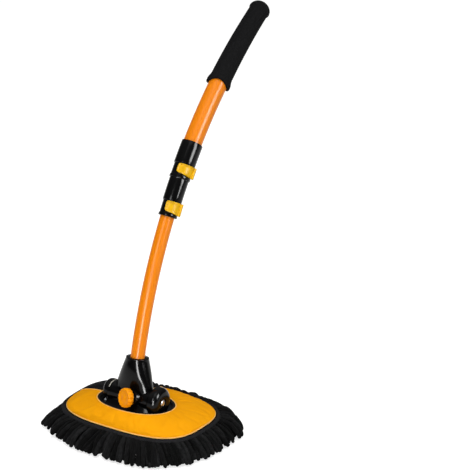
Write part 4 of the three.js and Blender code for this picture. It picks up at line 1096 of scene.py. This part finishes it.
def clamp(name, place, zone, sleeve_length, carried, gripped, body, node):
    """A clamp that carries one tube's end and grips the next tube, and what its lever has to fit."""
    bore = gripped + BORE_GAP
    ring = bore + RING_WALL
    pivot = ring + 0.3 + EYE_RADIUS
    zone_start, zone_end = place + FLANGE, place + FLANGE + zone
    sleeve, top_end = carried + SLEEVE_WALL, place + FLANGE + zone + sleeve_length
    outline = rounded([
        (bore, place), (ring + FLANGE_WALL, place), (ring + FLANGE_WALL, zone_start), (ring, zone_start),
        (ring, zone_end), (sleeve, zone_end), (sleeve, top_end), (carried + 0.3, top_end),
        (carried + 0.3, zone_end + 1.7), (bore, zone_end + 1.7),
    ], 0.55, 3)
    piece = make_mesh(name, *turned(stepped(outline, 6), 96))
    middle, pin = (zone_start + zone_end) / 2, pivot * toward_pin
    lug = soft_rod(LUG_RADIUS, middle - LUG_HALF, middle + LUG_HALF, 0.3, 2, 32)
    web_root, web_half = bore + 0.9, LUG_RADIUS / 2
    web = pin_block([
        (web_root, -web_half), (pivot, -web_half), (pivot, web_half), (web_root, web_half),
    ], middle - LUG_HALF, middle + LUG_HALF)
    combine(piece, [make_mesh("lug", *moved(lug, pin)), make_mesh("web", *web)], "UNION")
    pad_middle, half_window = PIVOT_ANGLE - PAD_SPAN, PAD_SPAN / 2 + 0.3 / ring
    window = sector(
        bore - 2, ring + 2, pad_middle - half_window, pad_middle + half_window, middle - 4.8, middle + 4.8,
    )
    pin_hole = rod(PIN_RADIUS + 0.15, place, top_end, 24)
    combine(piece, [make_mesh("pin_hole", *moved(pin_hole, pin)), make_mesh("window", *window)], "DIFFERENCE")
    straight = np.array([vertex.co[:] for vertex in piece.data.vertices]) / MM
    for vertex, co in zip(piece.data.vertices, bend(straight) * MM):
        vertex.co = co
    finish_piece(piece, body, gloss_black_abs, [node], crease=40)
    return ring, pivot, middle


LOWER_SLEEVE, UPPER_SLEEVE = 30.7, 31
lower_fit = clamp("lower_clamp_moulding", LOWER_CLAMP, LOWER_ZONE, LOWER_SLEEVE, MIDDLE_TUBE, LOWER_TUBE,
                  "middle", "lower_clamp_body")
upper_fit = clamp("upper_clamp_moulding", UPPER_CLAMP, UPPER_ZONE, UPPER_SLEEVE, UPPER_TUBE, MIDDLE_TUBE,
                  "upper", "upper_clamp_body")

# %% [markdown]
# ## Flip levers
# A lever is a curved yellow plate that wraps the front of the clamp, rounded at its free end, with a
# raised rim round a sunk middle that the thumb finds. At the other end two ears take the pin. The plate
# is one grid of points in angle and height, so its rim and its rounded corners are a matter of how thick
# and how tall the grid is at each point. That gives even quads, which catch the light cleaner than a
# boolean would.

# %% Shape a lever
LEVER_SPAN, LEVER_THICKNESS = math.radians(100), 2.6


def lever(name, fit, zone, body, node):
    """A lever that fits a clamp, with its plate's rim, its eye and the notch for the lug."""
    ring, pivot, middle = fit
    height = zone - 0.6
    inner, outer = ring + 0.45, ring + 0.45 + LEVER_THICKNESS
    span_mm = LEVER_SPAN * outer
    stations = np.unique(np.concatenate([
        np.linspace(0, span_mm - 6, 30), span_mm - 6 * (1 - np.sin(np.linspace(0, math.pi / 2, 12)))]))
    shares = np.linspace(-1, 1, 25)
    outside, inside = [], []
    for travelled in stations:
        left = span_mm - travelled
        half = (height - 3.2 * travelled / span_mm) / 2
        corner = 3.0
        if left < corner:
            half = half - corner + math.sqrt(max(0, corner ** 2 - (corner - left) ** 2))
        angle = PIVOT_ANGLE - travelled / outer
        lift = 0.8 * travelled / span_mm
        for share in shares:
            edge = min(half * (1 - abs(share)), left, travelled + 3)
            rim = np.clip((edge - 1.1) / 0.9, 0, 1)
            soft = np.clip(edge / 0.7, 0, 1)
            radius = outer - 1.2 * rim * rim * (3 - 2 * rim) - 0.35 * (1 - soft) ** 2
            level_z = lift + half * share
            outside.append((radius * math.cos(angle), radius * math.sin(angle), level_z))
            inside.append((inner * math.cos(angle), inner * math.sin(angle), level_z))
    width, rows_count = len(shares), len(stations)
    grid = [
        (row * width + i, row * width + i + 1, (row + 1) * width + i + 1, (row + 1) * width + i)
        for row in range(rows_count - 1) for i in range(width - 1)
    ]
    offset = width * rows_count
    faces = grid + [tuple(index + offset for index in reversed(face)) for face in grid]
    border = (
        list(range(width)) + [row * width + width - 1 for row in range(1, rows_count)]
        + [(rows_count - 1) * width + i for i in range(width - 2, -1, -1)]
        + [row * width for row in range(rows_count - 2, 0, -1)]
    )
    following = border[1:] + border[:1]
    faces += [(here, there, there + offset, here + offset) for here, there in zip(border, following)]
    piece = make_mesh(name, outside + inside, faces)
    pin = pivot * toward_pin
    eye = soft_rod(EYE_RADIUS, -height / 2, height / 2, 0.4, 3, 32)
    combine(piece, [make_mesh("eye", *moved(eye, pin))], "UNION")
    # The notch for the lug is open behind, and in front the eye's wall covers it.
    notch_half = LUG_HALF + 0.2
    behind = [(-3.6, -1.3), (0, -1.3), (0, 0.3), (3.6, 0.3), (3.6, 4.5), (-3.6, 4.5)]
    cuts = [
        rod(PIN_RADIUS + 0.3, -height, height, 24),
        rod(LUG_RADIUS + 0.2, -notch_half, notch_half, 32),
        pin_block(behind, -notch_half, notch_half),
    ]
    combine(piece, [make_mesh("cut", *moved(cut, pin)) for cut in cuts], "DIFFERENCE")
    angle = POLE_LEAN + middle / POLE_RADIUS
    on_pole = Matrix.Translation(Vector(bend([(0, 0, middle)])[0]) * MM)
    piece.data.transform(on_pole @ Matrix.Rotation(-angle, 4, "X"))
    return finish_piece(piece, body, yellow_abs, [node], crease=45)


lever("lower_flip_lever", lower_fit, LOWER_ZONE, "lower_lever", "lower_clamp_lever")
lever("upper_flip_lever", upper_fit, UPPER_ZONE, "upper_lever", "upper_clamp_lever")

# %% [markdown]
# ## Grip
# The foam grip is pushed over the thick tube and bulges into a rounded end. Its mouth flares and is cut
# on a curve, higher in front. The profile is turned straight, its mouth is lifted, and then it is bent
# like the tube inside it.

# %% Turn and bend the grip
GRIP_START, GRIP_NECK, POLE_END = 374.5, 498.0, 512.6
GRIP_BORE = UPPER_TUBE + 0.3
end_profile = [
    (14.6 * math.cos(angle), GRIP_NECK + 2.25 + (POLE_END - GRIP_NECK - 2.25) * math.sin(angle))
    for angle in np.linspace(0, math.pi / 2, 14)
]
# Radius and height above the mouth, then radius and height above the narrow place under the rounded end
mouth_steps = [
    (GRIP_BORE, 0.5), (GRIP_BORE + 0.5, 0), (15.4, 0), (16.1, 0.6), (16.5, 2.5), (16.5, 5), (16.1, 7.5),
    (15.2, 10.5), (14.7, 13), (14.5, 16),
]
end_steps = [(13.4, -14), (13.35, -6), (13.3, -2.5), (13.4, -1), (13.9, 0.6)]
GRIP_FLOOR = UPPER_TUBE_END + 2.6
grip_profile = [
    *((radius, GRIP_START + height) for radius, height in mouth_steps),
    *((radius, GRIP_NECK + height) for radius, height in end_steps),
    *end_profile[:-1], (0, POLE_END), (0, GRIP_FLOOR), (GRIP_BORE, GRIP_FLOOR),
]
points, faces = turned(stepped(grip_profile, 6), 72)
GRIP_FLARE, MOUTH_ARCH, MOUTH_TURN = 9.0, 5.0, math.radians(30)
fade = np.clip((GRIP_START + GRIP_FLARE - points[:, 2]) / GRIP_FLARE, 0, 1)
around_angle = np.arctan2(points[:, 1], points[:, 0]) + math.pi / 2 - MOUTH_TURN
points[:, 2] += MOUTH_ARCH * fade * np.cos(around_angle) ** 2
grip = make_mesh("foam_grip", bend(points), faces)
finish_piece(grip, "upper", eva_grip_foam, ["grip_sleeve"], crease=50)

# %% [markdown]
# ## Small parts that keep their solids
# Screws, pin, clip, washers, shoe, stud, guides, pads and plug are small or hidden and already have the
# right shape, so their solids stay and only get the finish of the real part.

# %% Finish the small parts
small_parts = {
    zinc_steel: ["hinge_pin", "hinge_pin_clip", "lock_knob_stud", "socket_screw", "lower_lever_pin",
                 "upper_lever_pin", *(f"housing_screw_{number}" for number in range(1, 5))],
    natural_nylon: ["left_friction_washer", "right_friction_washer",
                    "lower_tube_guide", "middle_tube_guide"],
    black_rubber: ["brake_shoe", "lower_clamp_pad", "upper_clamp_pad"],
    satin_black_polypropylene: ["grip_end_plug"],
}
for material, nodes in small_parts.items():
    for node in nodes:
        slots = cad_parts[node].data.materials
        slots.clear()
        slots.append(material)
    print(material.name, "on", len(nodes), "small parts")

# %% [markdown]
# ## Studio
# The picture is a cut-out on white, lit by tall soft boxes: each leaves one long streak down the glossy
# parts, and their places can be read from those streaks. The room round them is dim at eye height and
# bright overhead, as under a large soft ceiling, which keeps the black parts black. The floor is plain
# and pale. What the eye and every reflection see of it is whitened a little in its own material, so it
# adds no light to the brush and keeps the shadow.

# %% Floor and room
def seen_rays(tree):
    """1 for the rays of the camera, of reflections and of transmission, and 0 for the light on things."""
    rays = add(tree, "ShaderNodeLightPath")
    seen = add(tree, "ShaderNodeMath", {"operation": "MAXIMUM"},
               {0: rays.outputs["Is Camera Ray"], 1: rays.outputs["Is Glossy Ray"]})
    return add(tree, "ShaderNodeMath", {"operation": "MAXIMUM"},
               {0: seen.outputs["Value"], 1: rays.outputs["Is Transmission Ray"]}).outputs["Value"]


FLOOR_HALF, FLOOR_GLOW = 40.0, 0.7
floor_mesh = bpy.data.meshes.new("floor")
corners = [(x * FLOOR_HALF, y * FLOOR_HALF, 0) for x, y in ((-1, -1), (1, -1), (1, 1), (-1, 1))]
floor_mesh.from_pydata(corners, [], [(0, 1, 2, 3)])
floor = bpy.data.objects.new("floor", floor_mesh)
scene.collection.objects.link(floor)
floor_paint = bpy.data.materials.new("pale_floor")
floor_paint.use_nodes = True
tree = floor_paint.node_tree
floor_shader = tree.nodes["Principled BSDF"]
floor_shader.inputs["Base Color"].default_value = linear("D2D2D0")
floor_shader.inputs["Roughness"].default_value = 0.9
floor_shader.inputs["Specular IOR Level"].default_value = 0.0
floor_shader.inputs["Emission Color"].default_value = linear("FFFFFF")
glow = add(tree, "ShaderNodeMath", {"operation": "MULTIPLY", 1: FLOOR_GLOW}, {0: seen_rays(tree)})
tree.links.new(glow.outputs["Value"], floor_shader.inputs["Emission Strength"])
floor.data.materials.append(floor_paint)

HORIZON_LIGHT, ZENITH_LIGHT = 0.12, 0.75
world = bpy.data.worlds.new("studio")
world.use_nodes = True
scene.world = world
tree = world.node_tree
direction = add(tree, "ShaderNodeTexCoord").outputs["Generated"]
upward = add(tree, "ShaderNodeSeparateXYZ", {}, {"Vector": direction}).outputs["Z"]
raised = add(tree, "ShaderNodeMath", {"operation": "MAXIMUM", 1: 0.0}, {0: upward}).outputs["Value"]
squared = add(tree, "ShaderNodeMath", {"operation": "MULTIPLY"}, {0: raised, 1: raised}).outputs["Value"]
light = add(tree, "ShaderNodeMath", {
    "operation": "MULTIPLY_ADD", 1: ZENITH_LIGHT - HORIZON_LIGHT, 2: HORIZON_LIGHT,
}, {0: squared}).outputs["Value"]
tree.links.new(light, tree.nodes["Background"].inputs["Strength"])
tree.nodes["Background"].inputs["Color"].default_value = linear("FFFFFF")
print("the room gives", HORIZON_LIGHT, "at eye height and", ZENITH_LIGHT, "overhead")

# %% Soft boxes
def soft_box(name, place, aim, size, lit, mirrored):
    """A rectangular box with one brightness as a light and one as it shows in reflections."""
    toward = (Vector(aim) - Vector(place)).normalized()
    for use, brightness, ahead in (("light", lit, 0.0), ("mirror", mirrored, 0.02)):
        data = bpy.data.lights.new(f"{name}_{use}", "AREA")
        data.shape = "RECTANGLE"
        data.size, data.size_y = size
        data.energy = brightness * math.pi * size[0] * size[1]
        lamp = bpy.data.objects.new(data.name, data)
        lamp.location = Vector(place) + toward * ahead
        lamp.rotation_euler = toward.to_track_quat("-Z", "Y").to_euler()
        lamp.visible_camera = False
        lamp.visible_diffuse = use == "light"
        lamp.visible_glossy = use == "mirror"
        scene.collection.objects.link(lamp)
    distance = (Vector(aim) - Vector(place)).length
    print(name, "lights its aim by", round(lit * size[0] * size[1] / math.pi / distance ** 2, 2))


soft_box("low_key_strip", (0.305, -0.574, 0.18), (0, 0, 0.18), (0.12, 0.36), 7.6, 56)
soft_box("high_front_box", (0.22, -1.57, 1.05), (0, 0.1, 0.35), (0.4, 0.8), 4.2, 14)
soft_box("tall_right_box", (1.5, 0.1, 0.92), (0, 0.1, 0.35), (0.55, 0.8), 3.9, 34)
soft_box("overhead_box", (0.35, -0.55, 2.1), (0, 0.05, 0), (1.2, 1.2), 3.3, 1.5)
